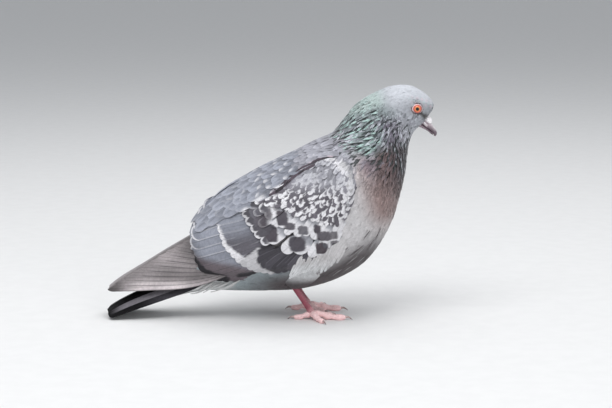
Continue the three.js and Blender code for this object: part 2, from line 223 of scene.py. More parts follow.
class Parts:
    """Collects the vertices, faces and values of one piece."""

    def __init__(self):
        self.points, self.quads, self.triangles, self.rims = [], [], [], []
        self.tint, self.vane, self.uv_quads, self.uv_triangles = [], [], [], []
        self.count = 0

    def add(self, points, quads, uv_quads, tint, vane=(0, 0, 0), triangles=(), uv_triangles=(), rims=()):
        """Adds closed shapes that all turn the same way. They are turned inside out if they face inwards.

        rims are pairs of vertices: the edges where the shading breaks.
        """
        points = np.asarray(points, float).reshape(-1, 3)
        faces = [np.asarray(quads, int).reshape(-1, 4), np.asarray(triangles, int).reshape(-1, 3)]
        uv = [np.asarray(uv_quads, float).reshape(-1, 4, 2),
              np.asarray(uv_triangles, float).reshape(-1, 3, 2)]
        corners = np.vstack([faces[0][:, [0, 1, 2]], faces[0][:, [0, 2, 3]], faces[1]])
        a, b, c = (points[corners[:, k]] - points.mean(0) for k in range(3))
        if (a * np.cross(b, c)).sum() < 0:
            faces = [kind[:, ::-1] for kind in faces]
            uv = [kind[:, ::-1] for kind in uv]
        self.points.append(points)
        self.quads.append(faces[0] + self.count)
        self.triangles.append(faces[1] + self.count)
        self.uv_quads.append(uv[0])
        self.uv_triangles.append(uv[1])
        self.tint.append(np.broadcast_to(tint, (len(points), 3)))
        self.vane.append(np.broadcast_to(vane, (len(points), 3)))
        self.rims.append(np.asarray(rims, int).reshape(-1, 2) + self.count)
        self.count += len(points)

    def mesh(self, name):
        """The collected shapes as one Blender mesh."""
        quads = np.vstack(self.quads)
        triangles = np.vstack(self.triangles)
        mesh = bpy.data.meshes.new(name)
        mesh.vertices.add(self.count)
        mesh.vertices.foreach_set("co", metres(np.vstack(self.points)).ravel())
        loops = np.concatenate([quads.ravel(), triangles.ravel()])
        mesh.loops.add(len(loops))
        mesh.loops.foreach_set("vertex_index", loops)
        starts = np.concatenate([4 * np.arange(len(quads)), 4 * len(quads) + 3 * np.arange(len(triangles))])
        mesh.polygons.add(len(starts))
        mesh.polygons.foreach_set("loop_start", starts)
        mesh.update(calc_edges=True)
        rims = np.sort(np.vstack(self.rims), axis=1)
        if len(rims):
            ends = np.empty(2 * len(mesh.edges), int)
            mesh.edges.foreach_get("vertices", ends)
            ends = np.sort(ends.reshape(-1, 2), axis=1)
            broken = np.isin(ends @ [self.count, 1], rims @ [self.count, 1])
            mesh.attributes.new("sharp_edge", "BOOLEAN", "EDGE").data.foreach_set("value", broken)
        colours = np.column_stack([np.vstack(self.tint), np.ones(self.count)])
        mesh.attributes.new("tint", "FLOAT_COLOR", "POINT").data.foreach_set("color", colours.ravel())
        vane = np.vstack(self.vane)
        mesh.attributes.new("vane", "FLOAT_VECTOR", "POINT").data.foreach_set("vector", vane.ravel())
        uv = np.concatenate([np.vstack(self.uv_quads).ravel(), np.vstack(self.uv_triangles).ravel()])
        mesh.uv_layers.new(name="OFBake").data.foreach_set("uv", np.clip(uv, 0.001, 0.999))
        mesh.polygons.foreach_set("use_smooth", np.ones(len(starts), bool))
        return mesh

    def piece(self, name, look, slot, replaced=()):
        """Makes the Blender object and rides it on the bird. slot is not used."""
        mesh = self.mesh(name)
        mesh.materials.append(look)
        mesh.validate()
        thing = bpy.data.objects.new(name, mesh)
        bpy.context.scene.collection.objects.link(thing)
        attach(thing, "root")
        if replaced:
            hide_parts(*replaced)


def crossed(rows, columns):
    """Two grids: the rows' values and the columns' values."""
    return np.meshgrid(rows, columns, indexing="ij")


def full_turn(sides):
    """Angles evenly round a circle."""
    return np.arange(sides) * TAU / sides


def grid_quads(rows, columns, closed=False):
    """Faces of a grid of rows by columns vertices, numbered row by row."""
    j, i = crossed(np.arange(rows - 1), np.arange(columns if closed else columns - 1))
    a, b = j * columns + i, j * columns + (i + 1) % columns
    return np.stack([a, b, b + columns, a + columns], -1).reshape(-1, 4)


def grid_uv(rows, columns):
    """UV corners of a grid of rows by columns faces that fills the square."""
    j, i = crossed(np.arange(rows), np.arange(columns))
    corners = [(i, j), (i + 1, j), (i + 1, j + 1), (i, j + 1)]
    return np.stack([np.stack([u / columns, v / rows], -1) for u, v in corners], 2).reshape(-1, 4, 2)


def per_vertex(value):
    """A value for each vertex of a tube: the grid's own, then one for each end."""
    if np.ndim(value) < 2:
        return value
    flat = value.reshape(-1, 3)
    return np.vstack([flat, flat[:1], flat[-1:]])


def add_tube(parts, rings, tint, vane=(0, 0, 0), uv=(0.02, 0.02, 0.96, 0.96)):
    """A closed skin over rings of points, an array of (rings, sides, 3), with a point at each end.

    uv is the lowest corner and the size of its place in the UV map.
    """
    count, sides = rings.shape[:2]
    i = np.arange(sides)
    after = (i + 1) % sides
    centre = np.full(sides, count * sides)
    start = (count - 1) * sides
    first = np.stack([centre, after, i], -1)
    last = np.stack([centre + 1, start + i, start + after], -1)
    corners = ((i, 0), (i + 1, 1), (i, 1))
    uv_first = np.stack([np.stack([u / sides, 0.01 * v + 0 * i], -1) for u, v in corners], 1)
    uv_ends = np.vstack([uv_first, uv_first[:, ::-1] * [1, -1] + [0, 1]])
    points = np.vstack([rings.reshape(-1, 3), rings[0].mean(0), rings[-1].mean(0)])
    corner, size = np.array(uv[:2]), np.array(uv[2:])
    parts.add(points, grid_quads(count, sides, closed=True), grid_uv(count - 1, sides) * size + corner,
              per_vertex(tint), per_vertex(vane), np.vstack([first, last]), uv_ends * size + corner)


def sweep(line, width, depth, steps, sides, across=(0, 1, 0), shape=lambda t, angle: np.ones_like(t)):
    """Rings of an oval tube along a line, swelled by shape(t, angle). Angle 0 is where up points."""
    curve = Curve(line)
    t = np.linspace(0, 1, steps)
    along = curve.tangent(t)
    along /= np.linalg.norm(along, axis=1, keepdims=True)
    across = np.asarray(across, float)
    side = across - along * (along @ across)[:, None]
    side /= np.linalg.norm(side, axis=1, keepdims=True)
    up = np.cross(along, side)
    tt, aa = crossed(t, full_turn(sides))
    swell = shape(tt, aa)
    rings = curve(t)[:, None] + side[:, None] * (np.sin(aa) * width(tt) / 2 * swell)[..., None]
    return rings + up[:, None] * (np.cos(aa) * depth(tt) / 2 * swell)[..., None]


# ---- Materials ----
def material(name, roughness, specular):
    """A new material, its node tree and its shader."""
    m = bpy.data.materials.new(name)
    m.use_nodes = True
    shader = m.node_tree.nodes["Principled BSDF"]
    shader.inputs["Roughness"].default_value = roughness
    shader.inputs["Specular IOR Level"].default_value = specular
    return m, m.node_tree, shader


def node(tree, kind, inputs=(), **settings):
    """A node of that kind. inputs are (input name or number, value or output socket)."""
    n = tree.nodes.new(kind)
    for key, value in settings.items():
        setattr(n, key, value)
    for key, value in inputs:
        if isinstance(value, bpy.types.NodeSocket):
            tree.links.new(value, n.inputs[key])
        else:
            n.inputs[key].default_value = value
    return n


def attribute(tree, name, output):
    """One of the values that the vertices carry."""
    return node(tree, "ShaderNodeAttribute", attribute_name=name).outputs[output]


def maths(tree, operation, a, b=0.0):
    return node(tree, "ShaderNodeMath", [(0, a), (1, b)], operation=operation).outputs[0]


def product(tree, *factors):
    result = factors[0]
    for factor in factors[1:]:
        result = maths(tree, "MULTIPLY", result, factor)
    return result


def ramped(tree, value, low, high, to_low, to_high):
    """A smooth step between two levels."""
    inputs = enumerate([value, low, high, to_low, to_high])
    return node(tree, "ShaderNodeMapRange", inputs, interpolation_type="SMOOTHSTEP").outputs[0]


def noise(tree, vector, scale, detail, roughness=0.55):
    inputs = [("Vector", vector), ("Scale", scale), ("Detail", detail), ("Roughness", roughness)]
    return node(tree, "ShaderNodeTexNoise", inputs).outputs["Fac"]


def grey(tree, value):
    """The same number in each channel of a colour."""
    return node(tree, "ShaderNodeCombineColor", [(0, value), (1, value), (2, value)]).outputs[0]


def object_places(tree):
    return node(tree, "ShaderNodeTexCoord").outputs["Object"]


def link_look(tree, shader, shade, strength, distance, height):
    """Links the vertices' tint times a shade, and a bump, to the shader."""
    tint = attribute(tree, "tint", "Color")
    inputs = [(0, 1.0), (6, tint), (7, grey(tree, shade))]  # the mix node's factor and its two colours
    mix = node(tree, "ShaderNodeMix", inputs, data_type="RGBA", blend_type="MULTIPLY")
    tree.links.new(mix.outputs[2], shader.inputs["Base Color"])
    inputs = [("Strength", strength), ("Distance", distance), ("Height", height)]
    tree.links.new(node(tree, "ShaderNodeBump", inputs).outputs[0], shader.inputs["Normal"])


def feather_material(name, barbs, roughness, sheen, contrast, shaft, specular=0.25):
    """Feather colour from the vertices, with barbs slanting from the shaft, a fine mottle and a soft bump.

    The vane attribute holds mm across from the shaft, mm from the root, and a number of the feather's own.
    """
    m, tree, shader = material(name, roughness, specular)
    vane = attribute(tree, "vane", "Vector")
    across, along, own = node(tree, "ShaderNodeSeparateXYZ", [(0, vane)]).outputs
    away = maths(tree, "ABSOLUTE", across)
    slant = maths(tree, "SUBTRACT", along, maths(tree, "MULTIPLY", away, 0.9))
    stretched = maths(tree, "MULTIPLY", away, 0.22)
    place = node(tree, "ShaderNodeCombineXYZ", [(0, slant), (1, stretched), (2, own)])
    fine = noise(tree, place.outputs[0], barbs, 2.0, 0.7)
    barb_spacing = 0.42
    wave = maths(tree, "SINE", maths(tree, "MULTIPLY", slant, TAU / barb_spacing))
    ridge = maths(tree, "ADD", maths(tree, "MULTIPLY", wave, 0.18), fine)
    broad = noise(tree, object_places(tree), 420.0, 4.0, 0.6)
    shade = ramped(tree, ridge, 0.25, 0.8, 1 - contrast, 1 + contrast)
    patch = ramped(tree, broad, 0.3, 0.7, 1 - 0.6 * contrast, 1 + 0.6 * contrast)
    single = ramped(tree, own, 0.0, 1.0, 1 - 0.5 * contrast, 1 + 0.5 * contrast)
    rib = ramped(tree, away, 0.12, 0.4, 1 - shaft, 1.0)
    rough = ramped(tree, fine, 0.3, 0.7, roughness - 0.08, roughness + 0.1)
    tree.links.new(rough, shader.inputs["Roughness"])
    shader.inputs["Sheen Weight"].default_value = sheen
    shader.inputs["Sheen Roughness"].default_value = 0.5
    link_look(tree, shader, product(tree, shade, patch, single, rib), 0.35, 0.0003, ridge)
    return m


def skin_material(name, roughness, pebble, depth, contrast, coat=0.0):
    """Bare skin or horn: vertex colour, a pebbled or streaked bump and darker hollows."""
    m, tree, shader = material(name, roughness, 0.4)
    coords = object_places(tree)
    cells = node(tree, "ShaderNodeTexVoronoi", [("Vector", coords), ("Scale", pebble)], feature="F1")
    soft = noise(tree, coords, pebble * 0.35, 4.0, 0.6)
    height = maths(tree, "SUBTRACT", soft, maths(tree, "MULTIPLY", cells.outputs["Distance"], 0.7))
    shade = ramped(tree, height, -0.3, 0.6, 1 - contrast, 1 + contrast)
    rough = ramped(tree, soft, 0.3, 0.7, roughness - 0.1, roughness + 0.1)
    tree.links.new(rough, shader.inputs["Roughness"])
    shader.inputs["Coat Weight"].default_value = coat
    shader.inputs["Coat Roughness"].default_value = 0.15
    link_look(tree, shader, shade, 0.6, depth, height)
    return m


def eye_material():
    """A glossy eye with fine rays in its iris."""
    m, tree, shader = material("eye_gloss", 0.25, 0.25)
    rays = noise(tree, attribute(tree, "vane", "Vector"), 3.0, 4.0, 0.7)
    shader.inputs["Coat Weight"].default_value = 0.3
    shader.inputs["Coat Roughness"].default_value = 0.02
    link_look(tree, shader, ramped(tree, rays, 0.3, 0.7, 0.7, 1.25), 0.1, 0.00003, rays)
    return m


COAT = feather_material("small_feathers", barbs=2.2, roughness=0.62, sheen=0.12, contrast=0.13, shaft=0.0)
HEAD_COAT = feather_material("head_feathers", barbs=3.0, roughness=0.62, sheen=0.12,
                             contrast=0.05, shaft=0.0)
NECK_COAT = feather_material("neck_feathers", barbs=2.4, roughness=0.42, sheen=0.25,
                             contrast=0.28, shaft=0.1)
VANES = feather_material("wing_feathers", barbs=1.6, roughness=0.6, sheen=0.06, contrast=0.12, shaft=0.18)
QUILLS = feather_material("flight_feathers", barbs=1.3, roughness=0.5, sheen=0.05, contrast=0.14, shaft=0.3)
TAIL_QUILLS = feather_material("tail_quills", barbs=1.3, roughness=0.65, sheen=0.0,
                               contrast=0.2, shaft=0.3, specular=0.08)
SKIN = skin_material("bare_skin", 0.55, 1500.0, 0.0002, 0.18)
LEG = skin_material("leg_scales", 0.48, 1300.0, 0.00025, 0.2, 0.15)
HORN = skin_material("horn", 0.34, 700.0, 0.00008, 0.15, 0.3)
CHALK = skin_material("cere_skin", 0.75, 1800.0, 0.00018, 0.1)
EYE_GLOSS = eye_material()


# ---- Colours of the plumage ----
def rgb(red, green, blue):
    return np.array([red, green, blue])


# Partly painted light: the crown is set lighter than the cheek because the top catches the light.
CROWN = rgb(0.55, 0.57, 0.615)
CHEEK = rgb(0.36, 0.375, 0.41)
# Painted shade of the lore, under the forehead.
LORE_SHADE = rgb(0.065, 0.06, 0.06)
NAPE = rgb(0.40, 0.485, 0.47)
GREEN = rgb(0.235, 0.275, 0.285)
THROAT = rgb(0.42, 0.42, 0.46)
# Partly painted shade: the front of the neck, turned from the light, is set darker than its own colour.
NECK_FRONT = rgb(0.055, 0.045, 0.05)
VIOLET = rgb(0.185, 0.165, 0.215)
MAUVE = rgb(0.29, 0.20, 0.188)
# Partly painted shade: the front of the lower neck and upper breast, turned from the light, set darker than
# their own mauve.
DEEP_MAUVE_AND_SHADE = rgb(0.135, 0.085, 0.083)
PALE = rgb(0.59, 0.575, 0.585)
FLANK = rgb(0.68, 0.69, 0.705)
REAR_FLANK = rgb(0.285, 0.33, 0.35)
VENT = rgb(0.60, 0.60, 0.60)
MANTLE = rgb(0.35, 0.35, 0.395)
LILAC = rgb(0.30, 0.265, 0.32)
TURQUOISE = rgb(0.34, 0.50, 0.46)
ASH = rgb(0.36, 0.34, 0.37)
PURPLE = rgb(0.22, 0.14, 0.21)
ROSE = rgb(0.72, 0.50, 0.56)
# Painted shade: the underside of belly, flanks and thighs, shaded nearly black.
BELLY_SHADE = rgb(0.08, 0.068, 0.072)
# Painted highlight: the mint glint of the neck's sheen.
MINT_GLINT = rgb(0.42, 0.585, 0.55)
# Painted shadow: the near-black gaps between ruffled neck feathers.
SLIT_SHADOW = rgb(0.02, 0.03, 0.03)
SLATE = rgb(0.22, 0.21, 0.25)


def blend(first, second, amount):
    return first + (second - first) * np.asarray(amount)[..., None]


def layered(colour, *coats):
    """A colour with others laid over it in turn. Each coat is (colour, how much of it)."""
    for over, amount in coats:
        colour = blend(colour, over, amount)
    return colour


def spot(x, z, place, reach):
    """1 at a place of the side view, fading over its reach along x and z."""
    return np.exp(-((x - place[0]) / reach[0]) ** 2 - ((z - place[1]) / reach[1]) ** 2)


def neck_colour(x, z):
    """The markings of the neck by their place in the side view."""
    return layered(
        np.broadcast_to(GREEN, np.shape(x) + (3,)),
        (LILAC, 0.95 * spot(x, z, (24, 149), (15, 9))),
        (ASH, smooth(146, 138, z + 0.1 * (x - 45))),
        (VIOLET, smooth(56, 68, x + 0.25 * (z - 160)) * smooth(176, 165, z)),
        # partly painted shade on the front of the lower neck
        (DEEP_MAUVE_AND_SHADE, 0.9 * smooth(52, 62, x) * smooth(154, 140, z)),
        (TURQUOISE, 0.6 * spot(x, z, (52, 149), (9, 5))),
        (PURPLE, 0.6 * spot(x, z, (50, 132), (7, 7))),
        (THROAT, 0.9 * spot(x, z, (85, 160), (9, 12))),
        # partly painted shade on the front of the neck
        (NECK_FRONT, 0.92 * (smooth(66, 78, x + 0.25 * (z - 140)) * smooth(158, 146, z))),
        (NAPE, smooth(174, 181, z + 0.35 * (50 - x)) * smooth(74, 62, x)),
    )


def lore_shade(x, z):
    """Painted shade: the dark wedge under the forehead, from the eye to the bill."""
    start, run, run_squared = (95.9, 174.7), (5.9, -4.1), 51.6
    along = np.clip(((x - start[0]) * run[0] + (z - start[1]) * run[1]) / run_squared, 0, 1)
    away = np.hypot(x - start[0] - run[0] * along, z - start[1] - run[1] * along)
    return bump(0, 1.5 + 1.5 * along, away)


def body_colour(points, station, turn):
    """The markings of the head, neck and trunk, with painted shade and light among them, for places in mm
    and in the body's own measures.
    """
    below = share_below(turn)
    x, z = points[..., 0], points[..., 2]
    rosy = smooth(66, 96, z) * smooth(38, 64, x + 0.3 * (z - 100)) * smooth(0.25, 0.42, below)
    head = smooth(12.6, 13.8, station + 0.9 * (below - 0.35))
    glints = np.sin(0.9 * x + 0.5 * z) * np.sin(0.55 * x - 0.8 * z)
    face = smooth(14, 15, station) * smooth(172, 178, z) * smooth(193, 186, z) * bump(0.35, 0.2, below)
    return layered(
        blend(REAR_FLANK, PALE, smooth(-25, 25, x)),
        (FLANK, smooth(-20, 5, x) * bump(43, 12, z)),
        (VENT, 0.8 * smooth(-55, -72, x) * smooth(0.45, 0.6, below) * smooth(44, 36, z)),
        # painted shade under the belly
        (BELLY_SHADE, smooth(0.73, 0.91, below) * smooth(84, 54, z) * smooth(-60, -20, x)),
        (MAUVE, 0.95 * rosy),
        # partly painted shade on the front of the upper breast
        (DEEP_MAUVE_AND_SHADE, rosy * smooth(98, 140, z) * smooth(44, 80, x)),
        (MANTLE, smooth(0.42, 0.25, below) * smooth(10.6, 9.4, station)),
        (neck_colour(x, z), smooth(9.1, 10.6, station)),
        (CHEEK, head),
        # lighter on top of the head: partly the crown's own paler grey, partly painted light from above
        (CROWN, head * smooth(0.60, 0.2, below) * smooth(160, 182, z)),
        # painted glints on the face: rosy and mint sheen
        (ROSE, 0.30 * face * smooth(0.1, 0.6, glints)),
        (MINT_GLINT, 0.22 * face * smooth(0.1, 0.6, -glints)),
        # painted shade of the lore
        (LORE_SHADE, 0.95 * lore_shade(x, z) * smooth(14.4, 14.8, station)),
    )


def share_below(turn):
    """0 on top of the body and 1 underneath."""
    return 0.5 - 0.5 * np.cos(turn)


def near_eye(points):
    """Distance in the side view from the middle of the eye."""
    return np.hypot(points[..., 0] - EYE[0], points[..., 2] - EYE[2])


# ---- Skin ----
def coat_depth(station):
    """How far the skin lies inside the outline of the plumage, in mm."""
    s = np.asarray(station, float)
    return 0.7 + 0.9 * smooth(14.2, 12.5, s) - 0.8 * smooth(2.0, 0.0, s)


def skin_surface(station, turn):
    """The skin, sunk round the eyes."""
    _, _, normal = frame_of(body, station, turn)
    point = body(station, turn) - normal * coat_depth(station)[..., None]
    for _, side in SIDES:
        on_side = smooth(3.0, 7.0, point[..., 1] * side)
        socket = smooth(5.6, 3.4, near_eye(point)) * on_side * 3.4
        point[..., 1] -= side * socket
    return point


def make_skin():
    """The skin of head, neck, trunk and thighs, with the rings round the eyes."""
    parts = Parts()
    stations = np.concatenate([np.linspace(0.02, 12.6, 150), np.linspace(12.68, 17.97, 110)])
    ss, tt = crossed(stations, full_turn(144))
    points = skin_surface(ss, tt)
    under_coat = body_colour(body(ss, tt), ss, tt)
    on_head = smooth(12.8, 13.6, ss)
    tint = blend(under_coat * 0.55 + rgb(0.10, 0.06, 0.06), under_coat * 0.9, on_head)
    tint = blend(tint, rgb(0.62, 0.52, 0.54), 0.7 * smooth(6.2, 4.8, near_eye(points)) * on_head)
    add_tube(parts, points, tint, uv=(0.01, 0.01, 0.98, 0.70))
    names = ["head", "neck", "trunk"]
    for number, (name, side) in enumerate(SIDES):
        t = np.linspace(0.05, 1.0, 24)
        outline = thigh(side)(*crossed(t, full_turn(36)))
        middle = thigh_line(side)(t)[:, None]
        uv_start = 0.02 + 0.3 * number
        flesh = rgb(0.22, 0.18, 0.18)
        add_tube(parts, middle + (outline - middle) * 0.86, flesh, uv=(uv_start, 0.73, 0.26, 0.12))
        add_eye_ring(parts, side, (uv_start, 0.87, 0.26, 0.1))
        names += ["thigh_" + name, "eyelid_" + name]
    parts.piece("skin", SKIN, "body_feathers", names)


def add_eye_ring(parts, side, uv):
    """The fleshy ring round an eye, slightly oval and drawn into folds.

    It is pink and pale at the upper rear and grey in front; below it is nearly black with painted shade.
    """
    count, sides = 56, 12
    aa, bb = crossed(full_turn(count), full_turn(sides))
    wide = LID_RADIUS + 0.15 + 0.1 * np.cos(2 * aa)
    thick = 0.58 + 0.05 * np.cos(9 * aa) + 0.04 * np.cos(17 * aa + 1)
    reach = wide + thick * np.cos(bb)
    out = EYE[1] + LID_OUT + 0.05 + 0.8 * thick * np.sin(bb) - 0.22 * (wide - 3.4) - 0.35 * np.cos(aa)
    points = np.stack([EYE[0] + reach * np.cos(aa), side * out, EYE[2] + 0.96 * reach * np.sin(aa)], -1)
    around = aa.reshape(-1, 1)
    tint = rgb(0.42, 0.34, 0.35) + rgb(0.50, 0.34, 0.34) * bump(2.3, 1.4, around)
    # painted shade on the lower lid
    tint = tint + (rgb(0.10, 0.075, 0.08) - tint) * bump(4.6, 0.8, around)
    quads = grid_quads(count + 1, sides, closed=True) % (count * sides)
    uv_quads = grid_uv(count, sides)[..., ::-1] * np.array(uv[2:]) + np.array(uv[:2])
    parts.add(points, quads, uv_quads, tint)


# ---- Eyes ----
PUPIL = 1.42
IRIS = 3.3
CORNEA = 3.4
EYE_RINGS = np.array([0.02, 0.5, 0.95, 1.2, PUPIL, 1.5, 1.6, 1.75, 1.95, 2.3, 2.7, 3.0, IRIS, IRIS,
                      3.7, 4.0, 4.5, 4.9])
BACK_RINGS = np.array([4.6, 3.4, 0.4])


def make_eye(name, side):
    """An eyeball with a bulging cornea, and pupil, pale inner ring and iris in rings of colour."""
    bulge = 1.2 + np.sqrt(4.2 ** 2 - np.minimum(EYE_RINGS, CORNEA) ** 2)
    front = np.where(EYE_RINGS < CORNEA, bulge, np.sqrt(EYE_RADIUS ** 2 - EYE_RINGS ** 2))
    radii = np.concatenate([EYE_RINGS, BACK_RINGS])[:, None]
    height = np.concatenate([front, [-1.9, -3.6, -4.9]])[:, None]
    black, yellow, orange = rgb(0.004, 0.004, 0.005), rgb(0.80, 0.36, 0.09), rgb(0.80, 0.225, 0.10)
    angle = full_turn(64)
    tint = layered(
        blend(black, yellow, smooth(PUPIL, 1.55, radii + 0 * angle)),
        (orange, smooth(1.6, 1.85, radii)),
        (rgb(0.60, 0.13, 0.105), smooth(2.1, 3.1, radii)),
        (rgb(0.05, 0.015, 0.012), smooth(IRIS, 3.5, radii)),
    )
    y = side * (EYE[1] + height + 0 * angle)
    rings = np.stack([EYE[0] + radii * np.cos(angle), y, EYE[2] + radii * np.sin(angle)], -1)
    rays = np.stack([3 * np.cos(angle) + 0 * radii, 3 * np.sin(angle) + 0 * radii, 0.25 * radii + 0 * angle],
                    -1)
    parts = Parts()
    add_tube(parts, rings, tint, rays)
    parts.piece("eyeball_" + name, EYE_GLOSS, "eye", ["eye_" + name])


# ---- Bill and cere ----
def remeshed(points, faces, voxel, rounds):
    """The outer skin of overlapping closed shapes, as smooth quads, by Blender's voxel remesh."""
    mesh = bpy.data.meshes.new("lump")
    mesh.from_pydata(points.tolist(), [], faces.tolist())
    thing = bpy.data.objects.new("lump", mesh)
    bpy.context.scene.collection.objects.link(thing)
    remesh = thing.modifiers.new("skin", "REMESH")
    remesh.mode = "VOXEL"
    remesh.voxel_size = voxel
    soft = thing.modifiers.new("soft", "SMOOTH")
    soft.iterations = rounds
    soft.factor = 0.5
    bpy.context.view_layer.update()
    result = bpy.data.meshes.new_from_object(thing.evaluated_get(bpy.context.evaluated_depsgraph_get()))
    co = np.array([v.co for v in result.vertices], float)
    faces = [tuple(f.vertices) for f in result.polygons]
    quads = np.array([f for f in faces if len(f) == 4], int).reshape(-1, 4)
    triangles = np.array([f for f in faces if len(f) == 3], int).reshape(-1, 3)
    bpy.data.objects.remove(thing)
    bpy.data.meshes.remove(result)
    return co, quads, triangles


def ball(centre, radii, slope, rows=20, columns=28):
    """Points of an ellipsoid row by row, its first axis sloping down from +x by slope."""
    a, b = crossed((np.arange(rows) + 0.5) / rows * math.pi, full_turn(columns))
    ahead = np.cos(a) * radii[0]
    side, up = np.sin(a) * np.cos(b) * radii[1], np.sin(a) * np.sin(b) * radii[2]
    x = ahead * math.cos(slope) - up * math.sin(slope)
    z = ahead * math.sin(slope) + up * math.cos(slope)
    return np.stack([x, side, z], -1).reshape(-1, 3) + centre


def box_uv(points, faces):
    """UV places from the side view, left and right halves apart."""
    low, high = points.min(0), points.max(0)
    flat = (points - low) / (high - low)
    centre = points[faces][:, :, 1].mean(1)
    u = 0.02 + 0.46 * flat[faces][:, :, 0] + np.where(centre > 0, 0.5, 0.0)[:, None]
    return np.stack([u, 0.02 + 0.96 * flat[faces][:, :, 2]], -1)


def make_cere():
    """The chalky two-lobed swelling at the root of the bill, with a nostril slit under each lobe."""
    slope = math.radians(-52)
    lumps = []
    for side in (-1, 1):
        lumps.append(ball((103.2, 1.95 * side, 168.2), (3.5, 2.3, 2.75), slope))
        lumps.append(ball((100.9, 2.2 * side, 165.0), (3.0, 1.5, 1.7), slope))
    lumps.append(ball((101.4, 0, 168.0), (3.4, 3.4, 2.4), slope))
    faces = [grid_quads(20, 28, closed=True) + len(lumps[0]) * number for number in range(len(lumps))]
    co, quads, triangles = remeshed(np.vstack(lumps), np.vstack(faces), 0.24, 6)
    slit_start, slit_end = np.array([101.4, 166.0]), np.array([105.4, 163.7])
    along = slit_end - slit_start
    apart = co[:, [0, 2]] - slit_start
    t = np.clip((apart @ along) / (along @ along), 0, 1)
    from_slit = np.linalg.norm(apart - t[:, None] * along, axis=1)
    slit = smooth(0.95, 0.35, from_slit) * smooth(1.2, 1.8, np.abs(co[:, 1]))
    co[:, 1] -= np.sign(co[:, 1]) * slit * 0.7
    groove = bump(0, 0.5, co[:, 1]) * smooth(168.0, 171.0, co[:, 2])
    co[:, 2] -= 0.35 * groove
    # Painted shade: nearly black in the nostril slits and greyer in the groove between the lobes; the lower
    # edge is greyer too.
    tint = blend(rgb(1.0, 0.965, 0.99), rgb(0.05, 0.03, 0.035), slit)
    tint = blend(tint, rgb(0.50, 0.40, 0.43), 0.5 * groove + 0.6 * smooth(165.6, 164.2, co[:, 2]))
    parts = Parts()
    parts.add(co, quads, box_uv(co, quads), tint, triangles=triangles, uv_triangles=box_uv(co, triangles))
    parts.piece("cere_skin", CHALK, "cere", ["cere"])


def loft(top, bottom, half, steps, sides):
    """Rings between two outlines of the side view. half(t) is half the width; angle 0 is on top."""
    t = np.linspace(0, 1, steps)
    high, low = Curve(top)(t), Curve(bottom)(t)
    angle = full_turn(sides)
    centre, up = (high + low) / 2, (high - low) / 2
    x = centre[:, :1] + up[:, :1] * np.cos(angle)
    z = centre[:, 1:] + up[:, 1:] * np.cos(angle)
    side = np.sign(np.sin(angle)) * np.abs(np.sin(angle)) ** 0.8
    return np.stack([x, half(t)[:, None] * side, z], -1)


def make_bill():
    """Two horny halves that meet along the gape, the upper one hooked a little over the lower."""
    def closing(full, tip):
        return lambda t: tip + (full - tip) * np.sqrt(np.clip(1 - t ** 3, 0, 1)) * (1 - 0.35 * t)

    meeting = np.array(LOWER_GAPE) + [[0.1, 0.5], [0.2, 0.6], [0.45, 0.7], [0.8, 0.6]]
    chin = np.array(CHIN) + [[0, 0], [0, 0.1], [0.2, 0.2], [0.6, 0.45], [0.9, 0.9]]
    t, angle = crossed(np.linspace(0, 1, 56), full_turn(40))
    halves = [  # name, outlines, half width, how ridged, and the angle of the dark edge
        ("upper", CULMEN, GAPE, closing(3.5, 0.15), 1.0, math.pi),
        ("lower", meeting, chin, closing(3.1, 0.2), 0.0, 0.0),
    ]
    for name, top, bottom, half, ridged, edge in halves:
        tint = layered(
            blend(rgb(0.28, 0.21, 0.245), rgb(0.14, 0.10, 0.125), smooth(0.2, 0.6, t)),
            (rgb(0.78, 0.74, 0.76), ridged * on_top(angle, 1.0) * smooth(0.72, 0.5, t)),
            # the pale tip: a painted highlight
            (rgb(0.85, 0.80, 0.78), smooth(0.91, 0.98, t)),
            (rgb(0.09, 0.07, 0.08), bump(edge, 0.6, angle) * 0.6),
        )
        parts = Parts()
        add_tube(parts, loft(top, bottom, half, 56, 40), tint)
        parts.piece("horn_" + name, HORN, "bill_horn", ["bill_" + name])


# ---- Legs ----
# The shank's deep red is partly the leg's own colour, partly painted shade.
CRIMSON_AND_SHADE = rgb(0.27, 0.055, 0.085)
PINK = rgb(1.0, 0.68, 0.68)
TOE_JOINTS = {1: 2, 2: 2, 3: 3, 4: 4}
LEAST_HEIGHT = 0.04  # the soles stand just over the floor


def on_top(angle, spread):
    """1 on the side of a tube that angle 0 points to, fading round it."""
    return bump(0, spread, angle) + bump(TAU, spread, angle)


def scutes(t, count, size):
    """Overlapping plates along a tube: each rises slowly and ends in a step."""
    return size * ((t * count) % 1) ** 1.5


def rounded_end(t, start, least):
    """1 along a tube, closing like a ball after start."""
    return np.clip(1 - ((t - start) / (1 - start)).clip(0, 1) ** 2, least, 1) ** 0.5


def add_shank(parts, line):
    """The scaly shank, with plates down its front."""
    plates = 15

    def knuckle(t):
        return 1 + 1.5 * np.clip(t - 0.78, 0, 1) + np.clip(0.2 - t, 0, 1)

    def shape(t, angle):
        front = on_top(angle, 1.1)
        rear = 0.03 * np.sin(t * 170) * np.sin(angle * 7) * (1 - front)
        return (1 + front * (scutes(t, plates, 0.11) - 0.03) + rear) * rounded_end(t, 0.93, 0.01)

    steps, sides = 132, 32
    rings = sweep(line, lambda t: 4.1 * knuckle(t), lambda t: 4.9 * knuckle(t), steps, sides, shape=shape)
    t, angle = crossed(np.linspace(0, 1, steps), full_turn(sides))
    front = on_top(angle, 1.1)
    seam = np.clip(((t * plates) % 1) ** 6, 0, 1) * front
    # darker on the shank than on the toes: partly the leg's own deep red, partly painted shade
    tint = blend(CRIMSON_AND_SHADE, PINK, 0.08 * front + 0.22 * seam + 0.4 * smooth(0.8, 1.0, t))
    add_tube(parts, rings, tint, uv=(0.01, 0.01, 0.3, 0.98))


